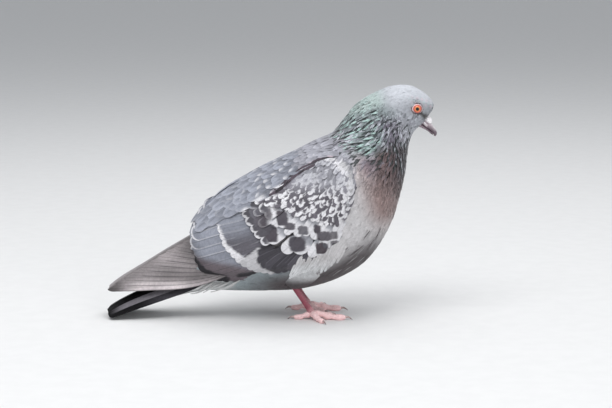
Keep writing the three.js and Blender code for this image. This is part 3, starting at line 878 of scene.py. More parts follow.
def add_toe(parts, number, at, across, reach, width):
    """A toe with plates above and swollen pads below. at(distance, z) is a place along it."""
    half = width / 2
    line = [at(0.5, FOOT_JOINT[2] - 0.6), at(reach * 0.3, half + 1.3), at(reach * 0.62, half * 0.86),
            at(reach, half * 0.74)]
    plates = int(reach / 1.35)

    def swelling(t):
        return np.cos(t * TAU * TOE_JOINTS[number] + math.pi)

    def shape(t, angle):
        top = on_top(angle, 1.15) * (scutes(t, plates, 0.17) - 0.04)
        pad = bump(math.pi, 1.2, angle) * (0.16 * swelling(t) + 0.05 * np.sin(t * 150))
        return (1.04 + top + pad) * rounded_end(t, 0.9, 0.05)

    def girth(taper):
        return lambda t: width * (1 - taper * t) * (1 + 0.08 * swelling(t))

    steps, sides = 96, 28
    rings = sweep(line, girth(0.24), girth(0.18), steps, sides, across, shape)
    rings[..., 2] = np.maximum(rings[..., 2], LEAST_HEIGHT)
    t, angle = crossed(np.linspace(0, 1, steps), full_turn(sides))
    tint = layered(
        # near the joint the toes take on the shank's darker red, partly painted shade
        blend(CRIMSON_AND_SHADE * 0.4 + PINK * 0.6, PINK, smooth(0.0, 0.25, t)),
        (rgb(1.0, 0.85, 0.84), 0.7 * (((t * plates) % 1) ** 6 * on_top(angle, 1.15))),
        (rgb(0.60, 0.28, 0.28), 0.4 * bump(math.pi, 0.9, angle)),
    )
    add_tube(parts, rings, tint, uv=(0.14 + 0.19 * number, 0.01, 0.17, 0.98))


def add_claw(parts, number, at, across, reach, half, claw):
    """A curved claw at the end of a toe."""
    line = [at(reach - 0.6, half * 0.9), at(reach + claw * 0.3, half * 0.95),
            at(reach + claw * 0.62, half * 0.55), at(reach + claw * 0.85, 0.35)]

    def girth(full, power):
        return lambda t: full * (1 - 0.86 * t ** power)

    steps, sides = 30, 20
    rings = sweep(line, girth(1.7, 1.2), girth(2.0, 1.3), steps, sides, across)
    rings[..., 2] = np.maximum(rings[..., 2], LEAST_HEIGHT)
    t, _ = crossed(np.linspace(0, 1, steps), full_turn(sides))
    tint = blend(rgb(0.55, 0.40, 0.38), rgb(0.20, 0.15, 0.15), smooth(0.0, 0.9, t))
    add_tube(parts, rings, tint, uv=(0.02 + 0.24 * (number - 1), 0.02, 0.2, 0.96))


def make_leg(name, side):
    """A shank, four toes and their claws."""
    back, turn = FEET[name]
    foot = (FOOT_JOINT[0] - back, FOOT_JOINT[1] * side)
    skin, claws = Parts(), Parts()
    add_shank(skin, [(ANKLE[0] - back, ANKLE[1] * side, ANKLE[2]), foot + (FOOT_JOINT[2],)])
    for number, (toe_angle, reach, bone, claw) in TOES.items():
        width = 1.2 * bone
        heading = math.radians(toe_angle + turn)
        ahead = (math.cos(heading), math.sin(heading) * side)
        across = (-ahead[1], ahead[0], 0)

        def at(distance, z):
            return (foot[0] + ahead[0] * distance, foot[1] + ahead[1] * distance, z)

        add_toe(skin, number, at, across, reach, width)
        add_claw(claws, number, at, across, reach, width / 2, claw)
    toes = ["toe_%d_%s" % (number, name) for number in TOES]
    skin.piece("leg_" + name, LEG, "leg_skin", ["tarsus_" + name] + toes)
    claws.piece("claws_" + name, HORN, "claw_horn", ["claw_%d_%s" % (number, name) for number in TOES])


# ---- Small feathers of the body ----
class Vane:
    """A thin closed feather: a grid of rows from the root and columns from edge to edge, and its underside.

    q runs from root to tip and p from edge to edge, -1 to 1. The tip is rounded by drawing the edges of each
    row back, the upper edge more so where the tip is oblique, and its last row may be frayed.
    """

    def __init__(self, rows, columns, root=0.4, fullest=0.6, tip=0.85, oblique=0.0, fray=0.0, crowd=1.25):
        self.rows, self.columns = rows, columns
        self.q = 1 - (1 - np.linspace(0, 1, rows)) ** crowd
        self.p = np.linspace(-1, 1, columns)
        q, p = crossed(self.q, self.p)
        self.wide = root + (1 - root) * np.sin(0.5 * math.pi * np.clip(self.q / fullest, 0, 1))
        self.wide *= 1 - (1 - tip) * smooth(fullest, 1.0, self.q)
        self.drawn = (1 - np.sqrt(1 - 0.95 * p ** 2)) * smooth(0.1, 0.9, q)
        self.drawn = self.drawn + oblique * np.clip(p, 0, 1) * smooth(0.05, 0.7, q)
        self.drawn += fray * np.where(np.arange(columns) % 2, 0.5, -0.5) * (q > 0.999)
        self.fray = fray * (q > 0.999)
        self.thick = (1 - p ** 2) ** 0.7 * np.sin(math.pi * np.clip(q, 0, 1)) ** 0.5
        self.grid_p, self.grid_q = p, q
        top = grid_quads(rows, columns)
        grid = np.arange(rows * columns).reshape(rows, columns)
        inside = (rows - 2, columns - 2)
        under = grid.copy()
        under[1:-1, 1:-1] = rows * columns + np.arange(math.prod(inside)).reshape(inside)
        self.quads = np.vstack([top, under.ravel()[top][:, ::-1]])
        flat = np.stack([p, q], -1).reshape(-1, 2)
        self.corners = np.vstack([flat[top], flat[top][:, ::-1]])
        self.under = np.concatenate([np.zeros(len(top)), np.ones(len(top))])
        self.count = rows * columns + math.prod(inside)
        rim = np.concatenate([grid[0], grid[1:, -1], grid[-1, -2::-1], grid[-2:0:-1, 0]])
        self.rim = np.stack([rim, np.roll(rim, -1)], -1)

    def join_sides(self, above, below):
        """Vertices of both sides in one list. above and below are (feathers, rows, columns, n)."""
        n = len(above)
        inner = below[:, 1:-1, 1:-1].reshape(n, -1, below.shape[-1])
        return np.concatenate([above.reshape(n, self.rows * self.columns, -1), inner], 1)

    def repeated(self, numbers, count):
        """Vertex numbers of one feather, for many feathers in one list of vertices."""
        return numbers[None] + self.count * np.arange(count)[:, None, None]

    def tufts_uv(self, roots, size=0.003):
        """Every tuft is a patch of that size at its root's place."""
        return roots[:, None, None] + size * (self.corners * [0.5, 1.0] - [0, 0.5])[None]


def lie_of(surface, flow, a, b):
    """The surface's derivatives and normal, and unit vectors with the lie of its feathers and across it."""
    da, db, normal = frame_of(surface, a, b)
    forward = flow * da / (np.linalg.norm(da, axis=1, keepdims=True) + 1e-9)
    return da, db, normal, forward, np.cross(normal, forward)


def lay(surface, flow, roots, vane, length, width, heading, depth, rise, camber, thick, dip=3.0):
    """Lays feathers on a surface of two measures (a, b), pointing along falling or rising a.

    Everything from length to thick is one number, or one for each feather, in mm or radians. Returns the
    vertices above and below, and (a, b) of those above.
    """
    a, b = roots.T
    count = len(a)
    turn, depth, rise, thick = (np.broadcast_to(x, count)[:, None] for x in (heading, depth, rise, thick))
    places = np.zeros((count, vane.rows, vane.columns, 2))
    for j in range(vane.rows):
        da, db, normal, forward, sideways = lie_of(surface, flow, a, b)
        ahead = np.cos(turn) * forward + np.sin(turn) * sideways
        e, f, g = (da * da).sum(1), (da * db).sum(1), np.maximum((db * db).sum(1), 1.0)
        scale = np.maximum(e * g - f * f, 1e-3)

        def measures(v):
            va, vb = (v * da).sum(1), (v * db).sum(1)
            return np.stack([(g * va - f * vb) / scale, (e * vb - f * va) / scale], -1)

        go, over = measures(ahead), measures(np.cross(normal, ahead))
        back = -vane.drawn[j][None] * width[:, None]
        back = back + vane.fray[j][None] * width[:, None] * rng.uniform(-0.5, 0.5, (count, vane.columns))
        out = vane.p[None] * (width * vane.wide[j])[:, None]
        middle = np.stack([a, b], -1)[:, None]
        places[:, j] = middle + over[:, None] * out[..., None] + go[:, None] * back[..., None]
        if j + 1 < vane.rows:
            step = length * (vane.q[j + 1] - vane.q[j])
            a, b = a + go[:, 0] * step, b + go[:, 1] * step
    pa, pb = places[..., 0], places[..., 1]
    _, _, normal = frame_of(surface, pa, pb)
    q = vane.q[None, :, None]
    height = -depth[..., None] * (1 - q) ** dip + rise[..., None] * q ** 2
    height = height - (camber * width)[:, None, None] * (vane.p ** 2)[None, None]
    base = surface(pa, pb) + normal * height[..., None]
    swell = (thick[..., None] * vane.thick[None])[..., None]
    return base + normal * swell, base - normal * (0.4 * swell), places


def is_clear(taken, cell, point, gap):
    """Whether no point taken before, in its cell of space or the ones around, is nearer than the gap."""
    near = gap ** 2
    for place in itertools.product(*((k - 1, k, k + 1) for k in cell)):
        for other in taken.get(place, ()):
            if (other[0] - point[0]) ** 2 + (other[1] - point[1]) ** 2 + (other[2] - point[2]) ** 2 < near:
                return False
    return True


def scatter(surface, a_range, b_range, spacing, wanted, tries):
    """Roots (a, b) spread evenly over part of a surface, no two nearer than spacing(a, b) mm."""
    a = rng.uniform(*a_range, tries)
    b = rng.uniform(*b_range, tries)
    da, db, _ = frame_of(surface, a, b)
    chance = np.linalg.norm(np.cross(da, db), axis=1) / spacing(a, b) ** 2
    keep = rng.uniform(0, 1, tries) * np.quantile(chance, 0.995) < chance
    a, b = a[keep], b[keep]
    points = surface(a, b)
    good = wanted(points, a, b)
    a, b, points = a[good], b[good], points[good]
    gaps = spacing(a, b)
    size = float(gaps.max())
    taken, chosen = {}, []
    for i, point in enumerate(points.tolist()):
        cell = tuple(int(x // size) for x in point)
        if is_clear(taken, cell, point, gaps[i]):
            taken.setdefault(cell, []).append(point)
            chosen.append(i)
    return np.stack([a[chosen], b[chosen]], -1)


def feather_length(station):
    return np.interp(station, [0, 1.5, 3, 5, 7, 8.5, 10, 11.5, 12.6, 13.5, 15, 16.5, 18],
                     [8, 13, 16, 15.5, 14, 13, 11, 9.5, 8, 6, 4.4, 3.2, 2.2])


def inside_outline(x, z, outline):
    """Which places of the side view lie inside a closed outline."""
    inside = np.zeros(np.shape(x), bool)
    for (x0, z0), (x1, z1) in zip(outline, np.roll(outline, -1, 0)):
        crosses = (z0 > z) != (z1 > z)
        with np.errstate(divide="ignore", invalid="ignore"):
            at = x0 + (z - z0) / (z1 - z0) * (x1 - x0)
        inside ^= crosses & (x < at)
    return inside


WING_TIMES = np.linspace(0, 1, 40)
EDGE = np.vstack([Curve(WING_LOWER)(WING_TIMES), Curve(WING_UPPER)(WING_TIMES[::-1])])[:, [0, 2]]
EDGE_MIDDLE = EDGE.mean(0)
UNDER_WING = EDGE_MIDDLE + (EDGE - EDGE_MIDDLE) * 0.86


def coat_uv(a, b):
    """Where a place of the body lies on the coat's UV map."""
    return np.stack([0.01 + 0.98 * ((b / TAU) % 1), 0.01 + 0.98 * np.clip(a / LAST, 0, 1)], -1)


def thigh_uv(a, b):
    return np.stack([0.02 + 0.96 * ((b / TAU) % 1), 0.02 + 0.96 * a], -1)


def coat(name, look, slot, surface, flow, roots, vane, length, width, tint_of, to_uv, **shape):
    """Lays feathers and joins them into one piece. tint_of(vertices, places, own) gives their colours.

    The feather material reads mm across from the shaft, mm from the root, and the feather's own number.
    """
    above, below, places = lay(surface, flow, roots, vane, length, width, **shape)
    count = len(roots)
    own = rng.uniform(0, 1, count)
    tint = tint_of(above, places, own)
    across = vane.p[None, None] * (width[:, None] * vane.wide[None])[..., None]
    along = (length[:, None, None] * vane.q[None, :, None]) + 0 * across
    values = np.stack([across, along, own[:, None, None] + 0 * across], -1)
    parts = Parts()
    tint, values = (vane.join_sides(value, value).reshape(-1, 3) for value in (tint, values))
    uv = vane.tufts_uv(to_uv(*roots.T))
    parts.add(vane.join_sides(above, below), vane.repeated(vane.quads, count), uv, tint, values,
              rims=vane.repeated(vane.rim, count))
    parts.piece(name, look, slot)


def streaked(tint, points, own, share, on_back=1.0):
    """Neck feathers differ: some catch the light in mint or grey as painted highlights, some are slate, and
    some are nearly black as painted shadow in the gaps.
    """
    catch = rng.uniform(0, 1, len(own))[:, None, None]
    x, z = points[..., 0], points[..., 2]
    back = smooth(70, 58, x + 0.25 * (z - 160)) * smooth(140, 150, z) * on_back
    plain = share * smooth(178, 164, z + 0.2 * (60 - x)) * smooth(112, 132, z)
    tint = layered(
        tint,
        # painted highlights where feathers catch the light
        (MINT_GLINT, 0.6 * (catch < 0.16) * back),
        (CHEEK * 1.6, 0.65 * ((catch > 0.16) & (catch < 0.40)) * plain * smooth(142, 154, z)),
        (SLATE, 0.6 * ((catch > 0.62) & (catch <= 0.80)) * plain),
        (SLIT_SHADOW, 0.85 * (catch > 0.85) * plain),
    )
    vary = 0.06 + 0.24 * smooth(182, 170, z)[..., None]
    return tint * (1 + vary * (own[:, None, None, None] - 0.5))


def heading_along(surface, a, b, flow, angle):
    """How far feathers turn from a surface's lie, to point back and down at an angle in the side view."""
    _, _, _, forward, sideways = lie_of(surface, flow, a, b)
    wanted = np.stack([-np.cos(angle), 0 * angle, -np.sin(angle)], -1)
    return np.arctan2((wanted * sideways).sum(1), (wanted * forward).sum(1))


def neck_lie(x, z):
    """The angle below the horizontal, in radians, at which the feathers of the neck point back."""
    return np.radians(27 + 45 * smooth(56, 84, x + 0.2 * (z - 150)) + 14 * smooth(150, 128, z))


def coat_piece(name, look, slot, stations, vane, gap, wanted, style, tries):
    """One joined piece of small feathers over a stretch of the body."""
    roots = scatter(body, stations, (-math.pi, math.pi), lambda a, b: gap * feather_length(a), wanted, tries)
    a, b = roots.T
    count = len(roots)
    length = feather_length(a) * rng.uniform(0.88, 1.1, count)
    width = length * style["slim"] * rng.uniform(0.92, 1.08, count)
    heading = rng.normal(0, style["stray"], count)
    points = body(a, b)
    if style["streaks"]:
        combed = heading_along(body, a, b, -1, neck_lie(points[:, 0], points[:, 2]))
        heading = heading + combed * smooth(9.6, 10.6, a) * smooth(0.02, 0.2, share_below(b))
    reach = near_eye(points)
    before_eye = (reach < 12) & (np.abs(points[:, 1]) > 6) & (points[:, 0] > EYE[0] - 2)
    length = np.minimum(length, np.where(before_eye, np.maximum(1.2, reach - 4.3), 99))
    width = np.minimum(width, 0.55 * length + 0.3)
    rise = np.abs(rng.normal(0, style["ruffle"], count)) * smooth(12.9, 12.0, a)

    def tint_of(above, places, own):
        tint = body_colour(above, places[..., 0], places[..., 1])
        if style["streaks"]:
            tint = streaked(tint, above, own, 1.0)
        elif name == "coat_head":
            tint = streaked(tint, above, own, 0.75 * smooth(97, 88, above[..., 0]), 0.3)
        # painted shade: each feather darker towards its root
        q = vane.q[None, :, None, None]
        return tint * (style["root_shade"] + (1 - style["root_shade"]) * smooth(0.2, 0.8, q))

    depth = np.minimum(coat_depth(a), 0.3 * length)
    coat(name, look, slot, body, -1, roots, vane, length, width, tint_of, coat_uv,
         heading=heading, depth=depth, rise=rise, camber=style["camber"], thick=style["thick"])


# How slim feathers are, how far they stray and stand up, and how much painted shade darkens their roots.
SMOOTH = {"slim": 0.30, "stray": 0.10, "ruffle": 0.03, "camber": 0.03, "thick": 0.07, "root_shade": 0.92,
          "streaks": False}
RUFFLED = {"slim": 0.15, "stray": 0.16, "ruffle": 0.38, "camber": 0.08, "thick": 0.12, "root_shade": 0.62,
           "streaks": True}
SOFT = {"slim": 0.24, "stray": 0.12, "ruffle": 0.05, "camber": 0.02, "thick": 0.08, "root_shade": 0.92,
        "streaks": False}
# Dark gaps between the ruffled feathers of the neck and the lower breast, placed in the side view:
# x and z of the middle, length, and degrees below the horizontal.
SLITS = [
    (39, 172.5, 4, 35), (48, 171, 8.5, 20), (55.5, 177, 7.5, 18), (57.5, 174, 3.5, 20), (29, 164, 8, 42),
    (33, 165.5, 6, 50), (36, 160.5, 9.5, 22), (49, 165, 8.5, 42), (27, 160.5, 6, 30),
    (49.5, 156.5, 12, 18), (43, 151, 8, 18), (50, 144.5, 8, 32), (62.5, 161, 5, 38), (77, 155.5, 3, 70),
    (76, 163, 3, 30), (73, 158, 3, 55), (81, 139.5, 8, 80), (79, 132, 7, 80), (82.5, 148, 6, 75),
    (76, 142, 5, 75), (80, 126, 6, 82), (83.5, 136, 5, 82), (66, 168, 3, 35), (70, 151, 4, 60),
    (60, 153, 4, 40), (30, 168, 6, 34), (25.5, 163.5, 6, 28), (23.5, 157, 6, 22), (33, 156, 7, 22),
    (39, 168.8, 6, 38), (43, 163.5, 6, 40), (53.5, 168.8, 5, 40), (57.5, 165.5, 4.5, 40),
    (55, 160.5, 5, 24), (38, 150.5, 6, 22), (43.5, 146.8, 6, 26), (56, 149, 5, 32), (31, 151.5, 5, 20),
    (66.5, 157.5, 4, 48), (70.5, 165, 4, 40), (69, 170, 6, 14), (77, 167, 6, 16), (83, 164, 5, 26),
    (86.5, 158, 3.5, 55), (74, 168.8, 4, 10), (80, 160.5, 4, 50), (72, 161.5, 4.5, 44), (85.5, 142, 6, 80),
    (85, 151.5, 5, 74), (78.5, 137, 5, 80), (82, 127.5, 5, 82), (74, 136, 4, 76), (72.5, 146.5, 5, 70),
    (66, 146, 4, 60), (79, 149, 5, 74), (53.6, 64.9, 10.9, 55), (43.1, 61.0, 14.5, 43),
    (36.8, 53.1, 14.8, 42), (30.9, 61.0, 12.0, 42), (24.6, 41.8, 12.3, 42), (12.6, 51.4, 13.3, 43),
    (33.2, 44.2, 11.8, 41), (60.5, 74.3, 10.8, 64), (23.2, 55.0, 9.8, 44), (44.8, 52.0, 11.3, 46),
    (10.4, 41.2, 10.8, 42), (50.8, 75.0, 8.9, 54),
]


def slit_colours(x, z):
    """A slit's dark colour, painted shadow, the pale one of the feather below it, a painted highlight, and
    how slim they are.
    """
    if z < 110:
        shaded = smooth(84, 50, z + 0.6 * (30 - x))
        return blend(PALE * 0.42, BELLY_SHADE * 1.3, shaded), blend(PALE, PALE * 0.55, shaded), 0.72
    return SLIT_SHADOW * 0.7, blend(MINT_GLINT, CHEEK, smooth(52, 66, x)), 1.0


def make_slits():
    """Long dark feathers at the gaps of the ruffled neck and lower breast, painted shadow, each with a pale
    one below it as a painted highlight.
    """
    aa, bb = crossed(np.linspace(3.5, 14, 420), np.linspace(0.1, math.pi - 0.05, 200))
    grid = body(aa, bb)
    rows = []
    for x, z, length, angle in SLITS:
        lean = math.radians(angle)
        dark, light, slim = slit_colours(x, z)
        fine = 0.5 if x > 66 and z > 158 else 1.0
        for drop, half, reach, tint in ((0.0, 0.95, 1.15, dark), (1.8, 0.85, 0.8, light)):
            start_x = x + 0.5 * length * math.cos(lean) + 0.4 * drop
            start_z = z + 0.5 * length * math.sin(lean) - drop
            nearest = np.argmin(np.hypot(grid[..., 0] - start_x, grid[..., 2] - start_z))
            width = half * slim * fine * min(1.0, 0.5 + length / 12)
            for side in (-1, 1):
                rows.append((aa.flat[nearest], side * bb.flat[nearest], length * reach, width, lean, *tint))
    table = np.array(rows)
    roots, length, width, lean = table[:, :2], table[:, 2], table[:, 3], table[:, 4]
    heading = heading_along(body, *roots.T, -1, lean) + rng.normal(0, 0.06, len(rows))
    vane = Vane(14, 7, root=0.3, fullest=0.4, tip=0.35)

    def tint_of(above, places, own):
        return table[:, None, None, 5:] + 0 * above

    coat("neck_slits", NECK_COAT, "neck_feathers", body, -1, roots, vane, length, width, tint_of, coat_uv,
         heading=heading, depth=-0.4, rise=0.9, camber=0.12, thick=0.15)


def make_body_coat():
    """The coat of head, neck, breast and belly, left open at eyes and bill and under the wings."""
    def on_head(points, a, b):
        bare = (near_eye(points) < 4.6) & (np.abs(points[:, 1]) > 6)
        horn = (points[:, 0] > 98.6) & (points[:, 2] < 172.4) & (np.abs(points[:, 1]) < 4.2)
        return ~bare & ~horn

    def shown(points, a, b):
        x, z = points[:, 0], points[:, 2]
        rear = (x < -72) & inside_outline(x, z, EDGE)
        return (np.abs(b) < 0.5) | ~(rear | inside_outline(x, z, UNDER_WING))

    head = Vane(5, 5, root=0.5, fullest=0.55, tip=0.7, fray=0.1)
    neck = Vane(6, 5, root=0.5, fullest=0.5, tip=0.4, fray=0.1)
    soft = Vane(6, 5, root=0.45, fullest=0.55, tip=0.6, fray=0.3)
    coat_piece("coat_head", HEAD_COAT, "head_feathers", (13.0, 17.95), head, 0.28, on_head, SMOOTH, 80000)
    coat_piece("coat_neck", NECK_COAT, "neck_feathers", (9.6, 13.3), neck, 0.18, everywhere, RUFFLED, 70000)
    make_slits()
    coat_piece("coat_breast", COAT, "body_feathers", (6.3, 10.1), soft, 0.215, shown, SOFT, 60000)
    coat_piece("coat_belly", COAT, "body_feathers", (0.3, 6.5), soft, 0.235, shown, SOFT, 60000)


def everywhere(points, a, b):
    return a > 0


def make_thigh_coats():
    """Short feathers down each thigh, close round the ankle."""
    vane = Vane(5, 5, root=0.45, fullest=0.6, tip=0.7, fray=0.25)

    def tint_of(above, places, own):
        # painted shade: darker towards each feather's root, and towards the bottom of the thigh
        shade = 0.85 + 0.15 * vane.q[None, :, None, None]
        return blend(FLANK * 0.8, BELLY_SHADE, smooth(40, 31, above[..., 2])) * shade

    def spacing(a, b):
        return 1.5 - 0.5 * a

    for name, side in SIDES:
        surface = thigh(side)
        roots = scatter(surface, (0.22, 0.97), (-math.pi, math.pi), spacing, everywhere, 16000)
        count = len(roots)
        length = (9 - 4.5 * roots[:, 0]) * rng.uniform(0.85, 1.1, count)
        heading = rng.normal(0, 0.15, count)
        rise = np.abs(rng.normal(0, 0.1, count))
        width = length * 0.28
        coat("coat_thigh_" + name, COAT, "body_feathers", surface, 1, roots, vane, length, width, tint_of,
             thigh_uv, heading=heading, depth=1.2, rise=rise, camber=0.04, thick=0.09)


# ---- Folded wings, laid out in the side view ----
def sheet_between(lower_line, upper_line, bulge):
    """The CAD's sheet between two edges, carried on a little past them."""
    lower, upper = Curve(lower_line), Curve(upper_line)

    def surface(u, v):
        low, high = lower(u), upper(u)
        out = np.cross(high - low, lower.tangent(u) + upper.tangent(u))
        out /= np.linalg.norm(out, axis=-1, keepdims=True)
        out = np.where(out[..., 1:2] < 0, -out, out)
        swell = 4 * v * (1 - v)
        swell = np.where(swell < 0, 0.35 * swell, swell)
        return low + (high - low) * v[..., None] + out * (bulge(np.clip(u, 0, 1)) * swell)[..., None]

    return surface


def turned(points, angle):
    """Points turned about the x axis."""
    y, z = points[..., 1], points[..., 2]
    return np.stack([points[..., 0], y * math.cos(angle) + z * math.sin(angle),
                     z * math.cos(angle) - y * math.sin(angle)], -1)


def filled_out(out):
    """The same grid with its gaps filled from their neighbours, a step at a time."""
    known = ~np.isnan(out)
    filled = np.where(known, out, 0)
    for _ in range(60):
        total, weight = np.zeros_like(out), np.zeros_like(out)
        for step in ((1, 0), (-1, 0), (0, 1), (0, -1)):
            shifted = np.roll(known, step, (0, 1))
            total += np.where(shifted, np.roll(filled, step, (0, 1)), 0)
            weight += shifted
        grow = ~known & (weight > 0)
        filled[grow] = total[grow] / weight[grow]
        known = known | grow
    return filled


class Field:
    """A drape over shapes: how far out they reach at each place of the side view, or one from higher up."""

    STEP = 0.75

    def __init__(self, grids, x_range, z_range, turn=0.0, rounds=8):
        self.turn = turn
        corners = turned(np.vstack([grid.reshape(-1, 3) for grid in grids]), turn)
        starts = np.cumsum([0] + [grid.shape[0] * grid.shape[1] for grid in grids])
        faces = [grid_quads(*grid.shape[:2]) + start for grid, start in zip(grids, starts)]
        tree = BVHTree.FromPolygons(corners.tolist(), np.vstack(faces).tolist())
        self.x = np.arange(*x_range, self.STEP)
        self.z = np.arange(*z_range, self.STEP)
        out = np.full((len(self.x), len(self.z)), np.nan)
        far_out, inward = 230, Vector((0, -1, 0))
        for i, x in enumerate(self.x):
            for j, z in enumerate(self.z):
                hit = tree.ray_cast(Vector((x, far_out, z)), inward)[0]
                if hit is not None:
                    out[i, j] = hit.y
        out = filled_out(out)
        for _ in range(rounds):
            out[1:-1, 1:-1] = (out[1:-1, 1:-1] * 2 + out[2:, 1:-1] + out[:-2, 1:-1] + out[1:-1, 2:]
                               + out[1:-1, :-2]) / 6
        self.out = out
        self.slope_x, self.slope_z = np.gradient(out, self.STEP)

    def read(self, values, x, z):
        """Values of the grid at places between its points."""
        fx = np.clip((x - self.x[0]) / self.STEP, 0, len(self.x) - 1.001)
        fz = np.clip((z - self.z[0]) / self.STEP, 0, len(self.z) - 1.001)
        i, j = fx.astype(int), fz.astype(int)
        s, t = fx - i, fz - j
        return (values[i, j] * (1 - s) * (1 - t) + values[i + 1, j] * s * (1 - t)
                + values[i, j + 1] * (1 - s) * t + values[i + 1, j + 1] * s * t)

    def lift(self, flat, height):
        """Places (x, z) of the view as points at a height above the drape, on the side of positive y."""
        x, z = flat[..., 0], flat[..., 1]
        out = self.read(self.out, x, z)
        sx = np.clip(self.read(self.slope_x, x, z), -2, 2)
        sz = np.clip(self.read(self.slope_z, x, z), -2, 2)
        size = np.sqrt(1 + sx ** 2 + sz ** 2)
        points = np.stack([x - sx / size * height, out + height / size, z - sz / size * height], -1)
        return turned(points, -self.turn)


def grid_of(surface, u_range, v_range):
    return surface(*crossed(np.linspace(*u_range, 90), np.linspace(*v_range, 60)))


def roof(u, v):
    """A sheet between the upper edges of the two wings."""
    edge = Curve(WING_UPPER)(u)
    across = 1 - 2 * v
    return np.stack([edge[..., 0], edge[..., 1] * across, edge[..., 2] + 1.5 * (1 - across ** 2)], -1)


WING_SHEET = sheet_between(WING_LOWER, WING_UPPER, lambda u: 19 * np.sin(math.pi * (0.01 + 0.95 * u)) ** 0.8)
PRIMARY_SHEET = sheet_between(PRIMARY_LOWER, PRIMARY_UPPER, lambda u: 3.5 * (1 - 0.7 * u))
WING_GRID = grid_of(WING_SHEET, (0, 1), (0, 1))
WING_FIELD = Field([WING_GRID, grid_of(body, (0.2, 13.5), (0, math.pi))], (-112, 56), (14, 160))
BACK_TURN = math.radians(50)
BACK_FIELD = Field([WING_GRID, grid_of(body, (0.2, 13.5), (-0.6, math.pi)), grid_of(roof, (0.2, 1), (0, 1))],
                   (-112, 56), (2, 116), BACK_TURN, 16)
PRIMARY_FIELD = Field([grid_of(PRIMARY_SHEET, (-0.1, 1.05), (-0.25, 1.2))], (-178, -40), (14, 96))


class Places:
    """Where a wing feather's vertices are: x and z in the side view, p across it and q from its root.

    own is a number of the feather's own, tone is how strongly it is marked, and wave roughens its markings.
    """

    def __init__(self, points, vane, own, tone):
        self.x, self.z = points[..., 0], points[..., 2]
        self.p, self.q, self.own, self.tone = vane.grid_p, vane.grid_q, own, tone
        self.wave = 0.09 * np.sin(6 * self.p + 30 * own)

    def fleck(self, start, end, wide, narrow):
        """A fleck near the tip, on one side of the shaft."""
        middle = 0.5 * math.sin(40 * self.own)
        return smooth(start, end, self.q) * smooth(wide, narrow, np.abs(self.p - middle))


class Plumage:
    """The large feathers of one wing or the tail, each with a place of its own in the UV map."""

    def __init__(self, columns, rows):
        self.cells = (columns, rows)
        self.items = []

    def add(self, vane, above, below, values, tint):
        self.items.append((vane, above, below, values, tint))

    def plume(self, marks, field, line, lower, upper, heights, vane, spec, own, tone=0.0):
        """A feather along a line of the side view, from root to tip, mirrored later for the left wing.

        marks(places) gives its colours. lower and upper are the half widths either side of the shaft.
        heights are those of root and tip above the wing. spec holds camber, thick (mm at the shaft), tilt
        (how far the lower edge stands above the upper) and curl (how far the tip bends in).
        """
        curve = Curve(line)
        along = curve.tangent(vane.q)
        length = run_along(curve(np.linspace(0, 1, 30)))[-1]
        along /= np.linalg.norm(along, axis=1, keepdims=True)
        up = np.stack([along[:, 1], -along[:, 0]], -1)
        p, q = vane.grid_p, vane.grid_q
        half = np.where(p < 0, lower, upper) * vane.wide[:, None]
        flat = curve(vane.q)[:, None] + up[:, None] * (p * half)[..., None]
        flat = flat - along[:, None] * (vane.drawn * 0.5 * (lower + upper))[..., None]
        height = heights[0] + (heights[1] - heights[0]) * (1 - (1 - q) ** 1.7)
        height = height - spec["tilt"] * p - spec["camber"] * p ** 2 - spec["curl"] * smooth(0.75, 1.0, q)
        thick = spec["thick"] * vane.thick
        shaft = 0.1 * bump(0, 0.16, p) * (1 - q)
        above = field.lift(flat, height + thick + shaft)
        below = field.lift(flat, height - 0.5 * thick)
        values = np.stack([p * half, q * length, np.full_like(p, own)], -1)
        self.add(vane, above, below, values, marks(Places(above, vane, own, tone)))

    def piece(self, name, look, slot, replaced=(), mirror=(1, 1, 1), drop=0.0):
        """Joins the feathers into one piece, mirrored and lowered where asked."""
        parts = Parts()
        columns, rows = self.cells
        size = np.array([0.98 / columns, 0.98 / rows])
        for number, (vane, above, below, values, tint) in enumerate(self.items):
            points = vane.join_sides(above[None], below[None])[0] * mirror - [0, 0, drop]
            place = np.array([0.01 + (number % columns) * size[0], 0.01 + (number // columns) * size[1]])
            shift = np.stack([vane.under * size[0] * 0.49, 0 * vane.under], -1)[:, None]
            uv = place + shift + (vane.corners * [0.5, 1] + [0.5, 0]) * (size * [0.46, 0.94])
            tint, values = (vane.join_sides(value[None], value[None])[0] for value in (tint, values))
            parts.add(points, vane.quads, uv, tint, values, rims=vane.rim)
        parts.piece(name, look, slot, replaced)


LIGHT = rgb(0.46, 0.465, 0.51)
WHITE = rgb(0.78, 0.77, 0.80)
CHARCOAL = rgb(0.085, 0.080, 0.095)
SMOKE = rgb(0.19, 0.18, 0.21)
BLUE_GREY = rgb(0.30, 0.315, 0.37)
BROWN = rgb(0.15, 0.125, 0.14)
DUSK = rgb(0.31, 0.28, 0.285)
INK = rgb(0.02, 0.018, 0.022)


def flow_angle(x, z):
    """How steeply, in degrees, the feathers of the folded wing point down as they run back."""
    return float(np.clip(36 + 0.5 * (x + 28) + 0.12 * (95 - z), 17, 72))


def run_along(points):
    """How far along a line of points each of them lies."""
    return np.concatenate([[0], np.cumsum(np.linalg.norm(np.diff(points, axis=0), axis=1))])


def evenly(line, count):
    """Points spaced evenly along a curve of the side view."""
    dense = Curve(line)(np.linspace(0, 1, 400))
    run = run_along(dense)
    wanted = np.linspace(0, 1, count) * run[-1]
    return np.stack([np.interp(wanted, run, dense[:, 0]), np.interp(wanted, run, dense[:, 1])], -1)


def away_from(x, z, line):
    """Distance in the side view from a broken line."""
    nearest = np.full(np.shape(x), 1e9)
    for (x0, z0), (x1, z1) in zip(line[:-1], line[1:]):
        dx, dz = x1 - x0, z1 - z0
        along = np.clip(((x - x0) * dx + (z - z0) * dz) / (dx * dx + dz * dz), 0, 1)
        nearest = np.minimum(nearest, np.hypot(x - x0 - along * dx, z - z0 - along * dz))
    return nearest
